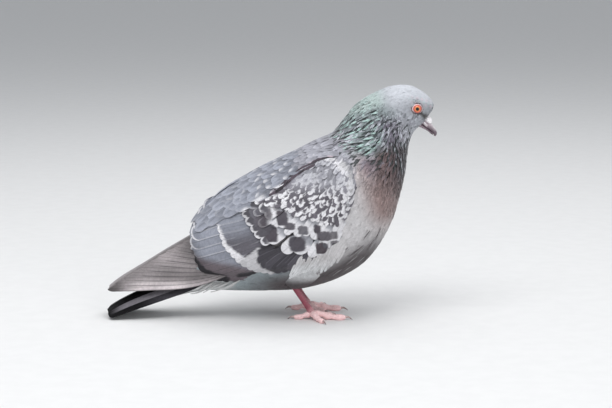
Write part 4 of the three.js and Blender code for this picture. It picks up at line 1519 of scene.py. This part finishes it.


# Lines and areas of the wing's markings and painted shadows in the side view.
RIM = [
    (14.8, 140.2), (25.6, 137.6), (32, 131.7), (35.8, 126.7), (37.3, 120), (37.3, 113), (36.6, 103),
]
FOLD = [
    (21.5, 140.6), (13.3, 138.8), (4, 134.6), (-5, 129.8), (-11.6, 125.3), (-18.3, 118.6), (-26, 113),
]
LOWER_FOLD = [
    (8, 134.6), (-3, 128.6), (-12, 122.3), (-21, 114.2), (-30, 108.5),
]
SCAPULAR_HEM = [
    (-18.5, 118), (-29, 112.2), (-36, 108), (-46, 101), (-52, 96),
]
WHITE_HEM = [
    (-74, 82), (-70.6, 74), (-67.3, 67), (-63.3, 60.5), (-57.5, 54.5), (-49, 49), (-40, 44.5),
]
BLACK_HEM = [
    (-96, 51), (-92.2, 45.8), (-85.6, 40.6), (-76.6, 37.2), (-68.8, 35.5),
]
NOTCH_SHADOW = [
    (-56, 40), (-47, 41.6), (-38, 44),
]
BLACK_COVERTS = [
    (-44, 55.9), (-38.1, 65.8), (-33, 76), (-26, 86), (0, 86), (24, 80), (28, 60), (12, 54), (6.4, 50),
    (-5.3, 46), (-13, 42), (-25.6, 40), (-32, 44), (-38, 47.5), (-42.1, 52),
]
WEDGE = [
    (-58, 51), (-50, 57.9), (-39, 67), (-41, 55.9), (-38, 51), (-33, 46), (-25, 42), (-38.2, 40),
    (-52, 42),
]
SQUARES = [  # dark squares of the median coverts: x, z, half width, half height, how dark
    (-19.7, 91.7, 4.5, 5.7, 1.0), (-28.4, 78.8, 4.7, 6.9, 1.0), (-13.4, 85.4, 4.3, 2.8, 0.95),
    (-2.5, 82.3, 4.0, 3.7, 0.9), (-7.2, 70.2, 6.6, 6.2, 1.0), (9.2, 83.4, 2.8, 3.3, 1.0),
    (14.6, 77, 5.6, 3.9, 0.95), (13.3, 65.8, 4.9, 5.2, 1.0), (22, 77, 4.0, 3.6, 0.85),
    (-38, 87.8, 4.8, 4.8, 0.85), (-32.7, 94.7, 4.4, 4.4, 0.8), (-24.5, 102, 3.3, 4.3, 0.5),
    (-42.5, 95.5, 4.2, 4.2, 0.65), (24, 68.5, 3.4, 3.4, 0.85), (-31, 103, 3, 3.6, 0.4),
]


def dark_square(x, z, wave):
    """How dark the median coverts are at places of the side view."""
    dark = np.zeros(np.shape(x))
    for at_x, at_z, wide, high, deep in SQUARES:
        across = np.abs((x - at_x + 0.12 * (z - at_z)) / wide)
        up = np.abs((z - at_z) / high)
        dark = np.maximum(dark, deep * smooth(1.12, 0.98, (across ** 4 + up ** 4) ** 0.25 + wave))
    return dark


# The markings of each kind of wing feather, as colours for its Places.
def mantle_marks(at):
    """Grey with a pale edge and a few flecks, rosy along the fold of the wing."""
    edge = away_from(at.x, at.z, FOLD)
    return layered(
        blend(MANTLE * 0.78, MANTLE * 1.08, smooth(0.5, 1.0, at.q + at.wave)) * (0.86 + 0.28 * at.own),
        (WHITE * 0.8, 0.5 * (at.fleck(0.85, 0.96, 0.5, 0.2) * (at.own > 0.7))),
        (ROSE * 0.95, 0.55 * bump(1.2, 0.9, edge) * smooth(0.8, 0.95, at.q)),
    )


def flank_marks(at):
    """Pale tufts below the wing, some of the lower ones darkened with painted shade."""
    low = smooth(46, 39, at.z - 0.35 * (at.x - 5)) * smooth(-10, 4, at.x)
    return layered(
        blend(FLANK * 0.84, FLANK * 1.1, smooth(0.3, 1.0, at.q)) * (0.85 + 0.22 * at.own),
        (PALE, smooth(44, 58, at.z)),
        # painted shade on the lower tufts
        (BELLY_SHADE * 1.3, 0.8 * low * (math.sin(50 * at.own) > -0.2)),
    )


def scapular_marks(at):
    """Blue grey with a darker middle, flecked and hemmed with white near the shoulder."""
    lit = BLUE_GREY * (1 + 0.15 * smooth(-50, -80, at.x))[..., None]
    rear = smooth(-35, -60, at.x)
    pale_edge = np.maximum(smooth(0.78, 0.95, np.abs(at.p)), smooth(0.93, 0.98, at.q))
    hem = bump(0.6, 1.1, away_from(at.x, at.z, SCAPULAR_HEM))
    band = bump(0.70, 0.09, at.q + at.wave)
    return layered(
        # darker towards the root: painted shade under the feather above
        blend(BLUE_GREY * 0.66, lit, smooth(0.45, 0.95, at.q + at.wave)) * (0.82 + 0.36 * at.own),
        (WHITE, (0.12 + 0.58 * at.tone) * (at.fleck(0.78, 0.92, 0.45, 0.15) * (at.own < 0.42))),
        (BLUE_GREY * 0.45, 0.6 * at.tone * band * smooth(0.95, 0.6, np.abs(at.p))),
        (BLUE_GREY * 0.6,
         0.5 * rear * bump(0, 0.4, at.p) * smooth(0.2, 0.5, at.q) * smooth(0.98, 0.85, at.q)),
        (LIGHT * 0.8, 0.4 * rear * pale_edge),
        (WHITE, 0.9 * hem * smooth(0.6, 0.8, at.q)),
    )


def fold_shadow_marks(at):
    """The dark line of painted shadow where the shoulder's coverts meet the mantle."""
    return blend(INK, rgb(0.12, 0.09, 0.115), 0.7 * at.own + 0 * at.x)


def rim_marks(at):
    """The pale rim of the wing's bend."""
    white = smooth(0.1, 0.5, at.q + 0.6 * at.own - 0.3) * smooth(98, 110, at.z)
    return blend(LIGHT * 0.8, WHITE * 0.9, white) * (0.68 + 0.30 * at.own)


def wisp_marks(at):
    """Loose pale down under the wing's tip."""
    return blend(VENT * 0.9, VENT * 1.3, at.q)


def lining_marks(at):
    """The layer under the small coverts, which shows between them."""
    return blend(rgb(0.27, 0.27, 0.30), rgb(0.12, 0.11, 0.13), smooth(128, 112, at.z))


def lesser_marks(at):
    """Small coverts: dark with ragged white lower down, plain grey with pale edges near the shoulder.
    Painted shade darkens them just below the fold.
    """
    x, z = at.x, at.z
    bold = smooth(124, 108, z)
    near_rim = smooth(-8, -2, x - np.interp(z, *np.array(RIM)[::-1, ::-1].T))
    pale = blend(rgb(0.50, 0.50, 0.54), WHITE, np.maximum(bold, 0.7 * near_rim))
    deep = blend(rgb(0.30, 0.30, 0.335), rgb(0.125, 0.115, 0.135), bold)
    deep = blend(deep, rgb(0.30, 0.295, 0.33), 0.35 * near_rim)
    deep = deep * (0.75 + 0.5 * ((at.own * 37) % 1))
    ragged = np.sin(1.1 * x + 0.45 * z) + np.sin(0.6 * x - 1.0 * z + 1.3) + np.sin(1.4 * z - 0.4 * x + 2.1)
    chosen = math.copysign(1, math.sin(90 * at.own))
    level = 1.25 * (at.q - 0.73) + 0.55 * chosen * at.p + 1.05 * ((at.own * 23) % 1 - 0.5) + 0.14 * ragged
    level = level - 0.16 + 0.30 * smooth(14, 30, x)
    # painted shade just below the fold
    seam = smooth(6, 1, away_from(x, z, FOLD[2:])) * smooth(126, 112, z + 0.6 * x)
    return layered(deep, (pale, smooth(-0.06, 0.12, level)), (rgb(0.11, 0.095, 0.12), 0.75 * seam))


def median_marks(at):
    """Pale coverts with the dark squares of the chequered wing."""
    x, z, q = at.x, at.z, at.q
    rear = smooth(-27, -34, x)
    far = smooth(-33, -50, x + 0.4 * (90 - z))
    square = blend(rgb(0.095, 0.092, 0.11), rgb(0.07, 0.055, 0.065), at.own)
    square = blend(square, rgb(0.19, 0.185, 0.215), 0.85 * far)
    ground = layered(
        blend(LIGHT * 0.8, WHITE * 0.97, smooth(0.3, 0.55, q)),
        (SMOKE * 0.5, rear * smooth(0.95, 0.89, q + 0.4 * at.wave + 0.08 * np.abs(at.p))),
        (SMOKE, 0.12 * bump(0, 0.12, at.p)),
    )
    return blend(ground * (1 - 0.28 * far[..., None]), square, dark_square(x, z, 0.5 * at.wave))


def greater_marks(at):
    """Blue grey coverts with a white hem, and the black ones low on the wing with their white wedge."""
    x, z, p = at.x, at.z, at.p
    wide = 1.8 + 4.2 * smooth(72, 56, z) * smooth(-44, -54, x)
    hem = smooth(wide + 0.5, wide - 0.4, away_from(x, z, WHITE_HEM) + 1.5 * at.wave)
    black = blend(CHARCOAL * 0.55, CHARCOAL * 0.95, at.own)
    black = blend(black, CHARCOAL * 2.2, 0.5 * smooth(0.93, 0.99, np.abs(p)))
    return layered(
        blend(BLUE_GREY * 0.8, SMOKE * 0.6, smooth(84, 66, z - 0.2 * (x + 60))) * (0.88 + 0.24 * at.own),
        (LIGHT * 0.8, 0.55 * smooth(-0.6, -0.92, p)),
        (CHARCOAL, 0.5 * smooth(0.55, 0.95, p)),
        (WHITE, hem * smooth(0.5, 0.62, at.q)),
        (black, smooth(-50, -40, x + 0.35 * (z - 56)) * inside_outline(x, z, BLACK_COVERTS)),
        (WHITE * 0.74, inside_outline(x, z, WEDGE)),
    )


def flight_marks(at):
    """Secondaries: blue grey above, brown below, with the black bar and hem, and a black notch of painted
    shadow.
    """
    x, z, p, q = at.x, at.z, at.p, at.q
    tip = np.maximum(smooth(0.966, 0.982, q), 0.6 * smooth(-0.9, -0.98, p))
    high = layered(
        blend(BLUE_GREY * 0.80, BLUE_GREY, smooth(0.4, 0.8, q)),
        (BLUE_GREY * 0.6, 0.5 * smooth(0.84, 0.93, q)),
        (WHITE, 0.8 * tip * smooth(50, 57, z)),
    )
    return layered(
        blend(BROWN * 0.92, BROWN * 1.15, smooth(0.2, 0.9, p)),
        (BROWN * 1.35 + rgb(0, 0, 0.02), smooth(-74, -90, x) * smooth(-0.2, 0.9, p)),
        (high, smooth(49, 57, z + 0.15 * (x + 80))),
        (CHARCOAL * 0.75, smooth(-50, -40, x) * inside_outline(x, z, BLACK_COVERTS)),
        (INK, smooth(5.0, 3.8, away_from(x, z, BLACK_HEM) + 3 * at.wave)),
        # painted shadow: a black notch along the lower edge of the wing
        (INK, 0.95 * smooth(2.6, 1.6, away_from(x, z, NOTCH_SHADOW))),
    )


def primary_marks(at):
    """Dusky primaries, clouded, paler below, and each lined with black as painted shadow where the feathers
    overlap.
    """
    x, z, p = at.x, at.z, at.p
    cloud = np.sin(0.11 * x + 0.28 * z) + np.sin(0.23 * x - 0.19 * z + 1.0)
    below_edge = np.interp(x, [-166, -140, -115, -82], [26, 43.5, 58.5, 76]) - z
    # painted shadow: black lines where each primary overlaps the next, and along the upper edges near the
    # tips
    line = smooth(-0.80, -0.88, p) * smooth(5, 11, below_edge) * smooth(-160, -148, x)
    line = np.maximum(line, 0.8 * smooth(0.86, 0.94, p) * smooth(-146, -158, x))
    colour = layered(
        blend(DUSK * 0.62, DUSK * 0.86, smooth(-92, -112, x)),
        (DUSK * 0.22, smooth(-148, -166, x)),
        (DUSK * 2.05, 0.8 * smooth(37, 28, z) * smooth(-160, -140, x)),
    )
    return blend(colour * (1 + 0.09 * cloud[..., None]) * (0.92 + 0.16 * at.own), INK, 0.9 * line)


# Places of the feathers' tips in the side view.
SECONDARY_TIPS = [
    (-22, 46.5), (-36.6, 43), (-48, 39.8), (-59, 37.4), (-70, 36.2), (-80, 37.6), (-88, 42), (-94, 49.5),
    (-97.5, 61), (-97, 73), (-93.5, 83), (-87, 92),
]
GREATER_TIPS = [
    (20, 66), (15.7, 61), (5, 54.5), (-5, 49.5), (-17.4, 45.5), (-30.5, 43), (-42, 44.5), (-51, 49),
    (-59, 55), (-65.5, 61.5), (-70.5, 70), (-74, 80), (-78, 90),
]
MEDIANS = [  # median coverts from the front back: tip, half width and how dark
    (22, 70, 4.2, 0.2), (15.5, 65.5, 3.6, 0.9), (9.5, 60.5, 4.6, 1), (3, 58.8, 4.2, 0), (-9, 63.4, 6.8, 1),
    (-19.5, 63.4, 5.2, 0), (-30.5, 71.3, 5.0, 1), (-37.5, 70.2, 3.6, 0), (-42.5, 76.5, 3.6, 0.7),
    (-46, 81, 3.4, 0), (-50, 86.5, 3.8, 0.6), (-53, 92, 3.2, 0.15), (-57, 97, 4, 0.5),
]
UPPER_MEDIANS = [  # and the row over them
    (24, 79, 3.8, 0), (14, 72, 5.2, 1), (4.6, 74.5, 3.6, 0), (8.5, 80, 3.0, 1), (-2.8, 78, 4.0, 1),
    (-9, 77.5, 3.2, 0), (-15, 81.2, 3.8, 1), (-22.5, 86, 5.0, 1), (-17.5, 79, 2.8, 0),
    (-27.5, 84.5, 3.0, 0), (-33, 91.8, 4.0, 1), (-39.5, 85.3, 3.4, 1), (-43.5, 93.5, 3.0, 0.1),
    (-48, 100, 3.8, 0.6), (-38, 97, 3.6, 0),
]
LESSER_AREA = [
    (29, 83), (32, 88), (34.5, 96), (36, 108), (35.5, 118), (33, 127), (25, 136), (18, 138.5), (3, 134.5),
    (-6, 129), (-15, 123.5), (-24, 115), (-34, 107), (-45, 101), (-36, 101), (-27, 100), (-16, 95.5),
    (-6, 89.5), (6, 89), (16, 86),
]
PRIMARY_TIPS = [
    (-82, 76), (-91, 72.5), (-99.8, 67.5), (-113.2, 60), (-125.2, 53), (-138, 44.8), (-150.8, 37),
    (-161.5, 30.4), (-166.5, 27), (-169, 25),
]
FLANK_AREA = [
    (20, 58), (6, 50), (-6, 46), (-17, 40), (-14, 37), (0, 38.5), (14, 43), (26, 51),
]
WISP_TIPS = [
    (-99, 24), (-93, 25.2), (-87, 25.5), (-81, 26.6), (-90, 27.8), (-74, 28.5), (-96, 26.8), (-69, 31),
    (-84, 28.4), (-77, 30),
]
BACK_HEM = [
    (18, 140.6), (13.3, 139.6), (4.1, 135.4), (-5, 130.8), (-11.6, 126.6), (-18.3, 119.9), (-29, 113.1),
    (-38, 107.5), (-50, 100.5), (-62, 94), (-75, 86), (-86, 78), (-94, 70),
]
BACK_RIDGE = [
    (-98, 82), (-84, 96.5), (-65, 112), (-42, 125.4), (-20, 136), (-4, 144.2), (8, 149.9),
]
# How steeply the feathers of the rim lie, in degrees, by their height.
RIM_LEAN = ([103, 113, 120, 127, 132, 138, 140.5], [88, 85, 75, 55, 35, 0, -13])

FLIGHT_VANE = Vane(30, 13, root=0.35, fullest=0.45, tip=0.9, crowd=1.5)
PRIMARY_VANE = Vane(34, 13, root=0.35, fullest=0.45, tip=0.8, oblique=1.9, crowd=1.6)
COVERT_VANE = Vane(15, 11, root=0.4, fullest=0.55, tip=0.9, fray=0.015, crowd=1.3)
MEDIAN_VANE = Vane(18, 13, root=0.45, fullest=0.5, tip=0.95, fray=0.015, crowd=1.4)
SLIM_VANE = Vane(11, 7, root=0.5, fullest=0.45, tip=0.45, fray=0.1, crowd=1.3)
SMALL_VANE = Vane(11, 7, root=0.4, fullest=0.55, tip=0.82, fray=0.07, crowd=1.3)
FLAT = {"camber": 0.15, "thick": 0.16, "tilt": 0.12, "curl": 0.1}
SOFT_EDGED = {"camber": 0.08, "thick": 0.1, "tilt": 0.05, "curl": 0.05}


def place(plumage, marks, tip, long, half, heights, vane=SMALL_VANE, spec=SOFT_EDGED, tone=0.0, bend=0.0,
          stray=2.0, field=WING_FIELD, lean=None):
    """One wing feather with its tip in the given place of its field, leaning as its neighbours do."""
    own = rng.uniform()
    angle = math.radians((flow_angle(*tip) if lean is None else lean) + rng.normal(0, stray))
    tip = np.array(tip) + rng.normal(0, 0.25, 2)
    back = np.array([math.cos(angle), math.sin(angle)])
    side = np.array([-back[1], back[0]])
    line = [tip + back * long, tip + back * long * 0.5 + side * bend * long, tip]
    ends = (heights[0], heights[1] + rng.normal(0, 0.05))
    plumage.plume(marks, field, line, half, half, ends, vane, spec, own, tone)


def strip_along(plumage, marks, line, count, long, half, heights):
    """Slender feathers, not quite alike, end to end along a line of the side view."""
    dense = evenly(line, 200)
    share = int(199 * min(1.0, long / run_along(dense)[-1]))
    for start in np.linspace(0, 199 - share, count).astype(int):
        track = dense[[start, start + share // 2, start + share]] + rng.normal(0, 0.2, (3, 2))
        wide = half * rng.uniform(0.6, 1.35)
        plumage.plume(marks, WING_FIELD, track, wide, wide, heights, SMALL_VANE, SOFT_EDGED, rng.uniform())


def scatter_tips(outline, gap, tries=4000):
    """Places spread evenly inside an outline of the side view."""
    outline = np.array(outline, float)
    x = rng.uniform(outline[:, 0].min(), outline[:, 0].max(), tries)
    z = rng.uniform(outline[:, 1].min(), outline[:, 1].max(), tries)
    chosen = []
    for tip in np.stack([x, z], -1)[inside_outline(x, z, outline)]:
        if all(np.hypot(*(tip - other)) > gap for other in chosen):
            chosen.append(tip)
    return chosen


def make_flight():
    """The secondaries, which stand out a little further towards the rear."""
    flight = Plumage(5, 5)
    spec = dict(FLAT, tilt=0.35, camber=0.3)
    for tip in evenly(SECONDARY_TIPS, 18):
        rear = float(smooth(-35, -65, tip[0]))
        place(flight, flight_marks, tip, long=66, half=6.8, heights=(-4.2 + rear, -0.8 + rear),
              vane=FLIGHT_VANE, spec=spec, bend=0.03, stray=0.8)
    return flight


def make_coverts():
    """The greater coverts, and two rows of median coverts over them."""
    coverts = Plumage(8, 7)
    for tip in evenly(GREATER_TIPS, 23):
        long, half = 33 * rng.uniform(0.95, 1.05), 4.4 * rng.uniform(0.95, 1.06)
        place(coverts, greater_marks, tip, long, half, (-2.4, 0.5), COVERT_VANE, FLAT, stray=1.2)
    for row, height in ((MEDIANS, 0.85), (UPPER_MEDIANS, 1.05)):
        for x, z, half, tone in row:
            heights = (-1.2, height - 0.12 * (1 - tone))
            place(coverts, median_marks, (x, z), 20, half * 1.12, heights, MEDIAN_VANE, FLAT, tone)
    return coverts


def make_shoulder():
    """The small coverts with their lining, the wing's rim, dark strips of painted shadow along the fold, and
    the tufts below the wing.
    """
    shoulder = Plumage(22, 22)
    for tip in scatter_tips(LESSER_AREA, gap=7.0):
        place(shoulder, lining_marks, tip, long=17, half=6.0, heights=(-0.9, -0.1), stray=6)
    for tip in scatter_tips(LESSER_AREA, gap=3.15):
        size = 0.80 + 0.20 * float(smooth(134, 110, tip[1])) * float(smooth(38, 26, tip[0]))
        place(shoulder, lesser_marks, tip, long=10.5 * size, half=2.6 * size, heights=(0.1, 1.15), stray=6)
    for inwards, reach in ((3.4, 1.0), (1.5, 1.05)):
        for x, z in evenly(RIM, 26):
            lean = float(np.interp(z, *RIM_LEAN))
            tip = (x - inwards, z - 0.3 * inwards)
            place(shoulder, rim_marks, tip, long=7, half=1.5, heights=(0.1, reach), stray=7, lean=lean)
    # dark strips of painted shadow along the fold and the line below it
    strip_along(shoulder, fold_shadow_marks, FOLD, count=16, long=9, half=0.85, heights=(0.9, 1.45))
    strip_along(shoulder, fold_shadow_marks, LOWER_FOLD, count=15, long=9, half=1.05, heights=(0.9, 1.45))
    for tip in scatter_tips(FLANK_AREA, gap=2.3):
        place(shoulder, flank_marks, tip, long=19, half=2.1, heights=(-0.3, 1.1), vane=SLIM_VANE, stray=7)
    for tip in WISP_TIPS:
        place(shoulder, wisp_marks, tip, long=14, half=0.75, heights=(1.0, 4.5), vane=SLIM_VANE,
              stray=6, lean=17)
    return shoulder


def on_back(side_view):
    """Places of the side view on the wings, seen from higher up."""
    x, z = np.array(side_view, float).T
    y = WING_FIELD.read(WING_FIELD.out, x, z)
    return np.stack([x, z * math.cos(BACK_TURN) - y * math.sin(BACK_TURN)], -1)


def make_back():
    """Mantle and scapulars, over the shoulders, the gap between the wings and the wings' upper edges."""
    back = Plumage(18, 18)
    ridge = np.array(BACK_RIDGE)
    ridge[:, 1] = ridge[:, 1] * math.cos(BACK_TURN)
    outline = np.vstack([on_back(BACK_HEM), ridge])
    for tip in scatter_tips(outline, gap=4.0):
        if tip[0] > -16:
            place(back, mantle_marks, tip, long=15, half=4.2, heights=(-0.9, 1.3), stray=4, field=BACK_FIELD,
                  lean=21)
    for tip in scatter_tips(outline, gap=5.6):
        if tip[0] <= -13:
            far = np.clip((-tip[0] - 10) / 75, 0, 1)
            place(back, scapular_marks, tip, long=19 + 10 * far, half=4.8 + 1.6 * far,
                  heights=(-0.2, 1.6 - 0.4 * far), vane=COVERT_VANE, tone=float(smooth(0.9, 0.3, far)),
                  stray=3, field=BACK_FIELD, lean=21)
    return back


def make_primaries():
    """The primaries, stacked from the upper one down, each a little nearer the body."""
    primaries = Plumage(5, 4)
    spec = {"camber": 0.2, "thick": 0.3, "tilt": 0.3, "curl": 0.1}
    first, last = PRIMARY_TIPS[0], PRIMARY_TIPS[-1]
    root_x = -46
    for number, (x, z) in enumerate(evenly(PRIMARY_TIPS, 13)):
        share = (first[0] - x) / (first[0] - last[0])
        root_z = 63 - 13 * share
        line = [(root_x, root_z)]
        for along, sag in ((0.38, 7.6), (0.75, 3.6)):
            line.append((along * (x - root_x) + root_x, root_z + along * (z - root_z) - sag * share))
        line.append((x, z))
        heights = (-0.6 - 0.14 * number, 0.4 - 0.11 * number)
        primaries.plume(primary_marks, PRIMARY_FIELD, line, lower=3.4, upper=8.8 - 1.8 * share,
                        heights=heights, vane=PRIMARY_VANE, spec=spec, own=rng.uniform())
    return primaries


def make_wings():
    """Both wings: the right one as the photo shows it, and the left one its mirror image."""
    flight, coverts, shoulder = make_flight(), make_coverts(), make_shoulder()
    back, primaries = make_back(), make_primaries()
    for name, side in SIDES:
        mirror = (1, side, 1)
        drop = LEFT_DROP if name == "left" else 0.0
        flight.piece("wing_flight_" + name, QUILLS, "flight_feathers", ["wing_" + name], mirror)
        coverts.piece("wing_coverts_" + name, VANES, "wing_feathers", (), mirror)
        shoulder.piece("wing_shoulder_" + name, VANES, "wing_feathers", (), mirror)
        back.piece("back_feathers_" + name, VANES, "wing_feathers", (), mirror)
        primaries.piece("primary_feathers_" + name, QUILLS, "flight_feathers", ["primaries_" + name],
                        mirror, drop)


# ---- Tail, and the feathers between the wings ----
def tail_surface(u, across):
    """The closed fan of the tail, as the CAD has it."""
    x = -80 + (-89 + 1.5 * across ** 4) * u
    y = across * (17 + 7 * np.clip(u, 0, 1) ** 0.7)
    z = 34 - 29.6 * u + (10 - 6.8 * np.clip(u, 0, 1.1) ** 5) * (1 - across ** 2) - 1.3
    return np.stack([x, y, z], -1)


def fan_out(plumage, vane, surface, count, spread, half, marks):
    """Feathers side by side on a sheet surface(u, across), the middle ones on top.

    marks(middle, outwards, q, own) gives their colours: middle is the feather's place in the fan, -1 to 1.
    """
    p, q = vane.grid_p, vane.grid_q
    for number in range(count):
        middle = 2 * number / (count - 1) - 1
        own = rng.uniform()
        side = 1 if middle > 0 else -1
        across = spread * middle + p * half * vane.wide[:, None]
        u = q * (1 + 0.006 * rng.normal()) - 0.045 * vane.drawn
        sheet = surface(u, across)
        _, _, normal = frame_of(surface, u, across)
        normal = np.where(normal[..., 2:] < 0, -normal, normal)
        height = 0.5 - 0.35 * abs(middle) * (count - 1) / 2 - 0.35 * side * p - 0.25 * p ** 2
        thick = 0.3 * vane.thick
        above = sheet + normal * (height + thick)[..., None]
        below = sheet + normal * (height - 0.5 * thick)[..., None]
        values = np.stack([p * 7, q * 89, own + 0 * p], -1)
        plumage.add(vane, above, below, values, marks(middle, side * p, q, own))


def tail_marks(middle, outwards, q, own):
    """Nearly black at the tip, with a paler stripe along the feathers next to the outermost. The outermost
    feathers, the tail's lower side, are nearly black as painted shade.
    """
    # painted shade: the outermost feathers are the tail's shaded lower side
    if abs(middle) >= 0.95:
        return blend(INK * 0.2, SMOKE * 0.3, smooth(0.75, 0.4, q))
    tint = blend(SMOKE * 0.3, INK * 0.2, smooth(0.3, 0.5, q))
    if abs(middle) <= 0.6:
        return tint
    stripe = smooth(-0.1, 0.2, outwards) * smooth(1.0, 0.85, q)
    return blend(tint, rgb(0.26, 0.245, 0.27) * (1.0 - 0.35 * q[..., None]), stripe)


def make_tail():
    fan = Plumage(4, 3)
    vane = Vane(34, 13, root=0.6, fullest=0.3, tip=0.96, crowd=1.4)
    fan_out(fan, vane, tail_surface, count=12, spread=0.74, half=0.30, marks=tail_marks)
    fan.piece("tail_feathers", TAIL_QUILLS, "tail_feathers", ["tail"])


def between_primaries(u, across):
    """A sheet from the upper edge of the left primaries to that of the right ones."""
    edge = Curve(PRIMARY_UPPER)(np.clip(u, 0.0, 1.0) * 0.97)
    y = across * (edge[..., 1] + 4)
    down = 1.5 + 1.9 * np.maximum(np.abs(y) - edge[..., 1], 0)
    return np.stack([edge[..., 0] + 4 * (1 - u), y, edge[..., 2] - down], -1)


def behind_back(u, across):
    """A sheet just under the rear of the roof between the wings."""
    sheet = roof(0.72 + 0.27 * np.clip(u, 0, 1), 0.5 - 0.6 * across) + [1.6, 0, -0.4]
    sheet[..., 1] *= 1 + 0.35 * smooth(0.2, 0.8, np.abs(across))
    return sheet


def make_ridge():
    """Feathers that close the gap between the two wings: behind the back, and between the primaries."""
    def dusky(middle, outwards, q, own):
        return blend(DUSK * 0.5, DUSK * 0.8, smooth(0.2, 0.9, q)) * (0.9 + 0.2 * own)

    def slaty(middle, outwards, q, own):
        return blend(BLUE_GREY * 0.7, BLUE_GREY, smooth(0.2, 0.95, q)) * (0.9 + 0.2 * own)

    ridge = Plumage(4, 4)
    long_vane = Vane(30, 13, root=0.7, fullest=0.3, tip=0.6, crowd=1.4)
    short_vane = Vane(20, 9, root=0.6, fullest=0.4, tip=0.9, crowd=1.3)
    fan_out(ridge, long_vane, between_primaries, count=4, spread=0.5, half=0.5, marks=dusky)
    fan_out(ridge, short_vane, behind_back, count=8, spread=0.85, half=0.30, marks=slaty)
    ridge.piece("ridge_feathers", QUILLS, "flight_feathers")


# ---- Floor, light and camera ----
def make_floor():
    """A pale, matt floor, a little speckled."""
    m, tree, shader = material("floor", 0.9, 0.1)
    shade = ramped(tree, noise(tree, object_places(tree), 60.0, 4.0), 0.3, 0.7, 0.78, 0.80)
    tree.links.new(grey(tree, shade), shader.inputs["Base Color"])
    size = 6.0
    corners = [(-size, -size, 0), (size, -size, 0), (size, size, 0), (-size, size, 0)]
    mesh = bpy.data.meshes.new("floor")
    mesh.from_pydata(corners, [], [(0, 1, 2, 3)])
    mesh.materials.append(m)
    floor = bpy.data.objects.new("floor", mesh)
    bpy.context.scene.collection.objects.link(floor)


def make_world():
    """A soft sky: brighter to the camera and in reflections than as a light."""
    world = bpy.data.worlds.new("studio")
    bpy.context.scene.world = world
    world.use_nodes = True
    tree = world.node_tree
    background = tree.nodes["Background"]
    rays = node(tree, "ShaderNodeLightPath").outputs
    seen = maths(tree, "MAXIMUM", rays["Is Camera Ray"], rays["Is Glossy Ray"])
    seen = maths(tree, "MAXIMUM", seen, rays["Is Transmission Ray"])
    background.inputs["Color"].default_value = (0.93, 0.96, 1.0, 1)
    tree.links.new(ramped(tree, seen, 0.0, 1.0, 0.45, 0.95), background.inputs["Strength"])


LAMPS = [  # name, place in metres, width and power
    ("key", (-0.5, -0.9, 1.7), 1.2, 18.5),
    ("top", (0.25, 0.35, 1.7), 1.4, 12.5),
    ("fill", (0.9, -1.5, 0.7), 1.0, 6.5),
]


def make_lamps():
    aim = Vector((0, 0, 0.1))
    for name, where, width, power in LAMPS:
        lamp = bpy.data.lights.new(name, "AREA")
        lamp.size = width
        lamp.energy = power
        thing = bpy.data.objects.new(name, lamp)
        thing.location = where
        thing.rotation_euler = (aim - Vector(where)).to_track_quat("-Z", "Y").to_euler()
        bpy.context.scene.collection.objects.link(thing)


def make_camera():
    """The photo's view, level with the bird and from its right."""
    camera = bpy.data.cameras.new("camera")
    camera.lens = 110.7
    camera.sensor_width = 36
    camera.clip_end = 50
    thing = bpy.data.objects.new("camera", camera)
    thing.location = metres((0, -1581.2, 340.8))
    thing.rotation_euler = (math.radians(81.2), 0, 0)
    bpy.context.scene.collection.objects.link(thing)
    bpy.context.scene.camera = thing


make_camera()
make_floor()
make_world()
make_lamps()
make_skin()
for side_name, side_sign in SIDES:
    make_eye(side_name, side_sign)
    make_leg(side_name, side_sign)
make_cere()
make_bill()
make_body_coat()
make_thigh_coats()
make_wings()
make_tail()
make_ridge()
bpy.context.scene.view_settings.view_transform = "Standard"
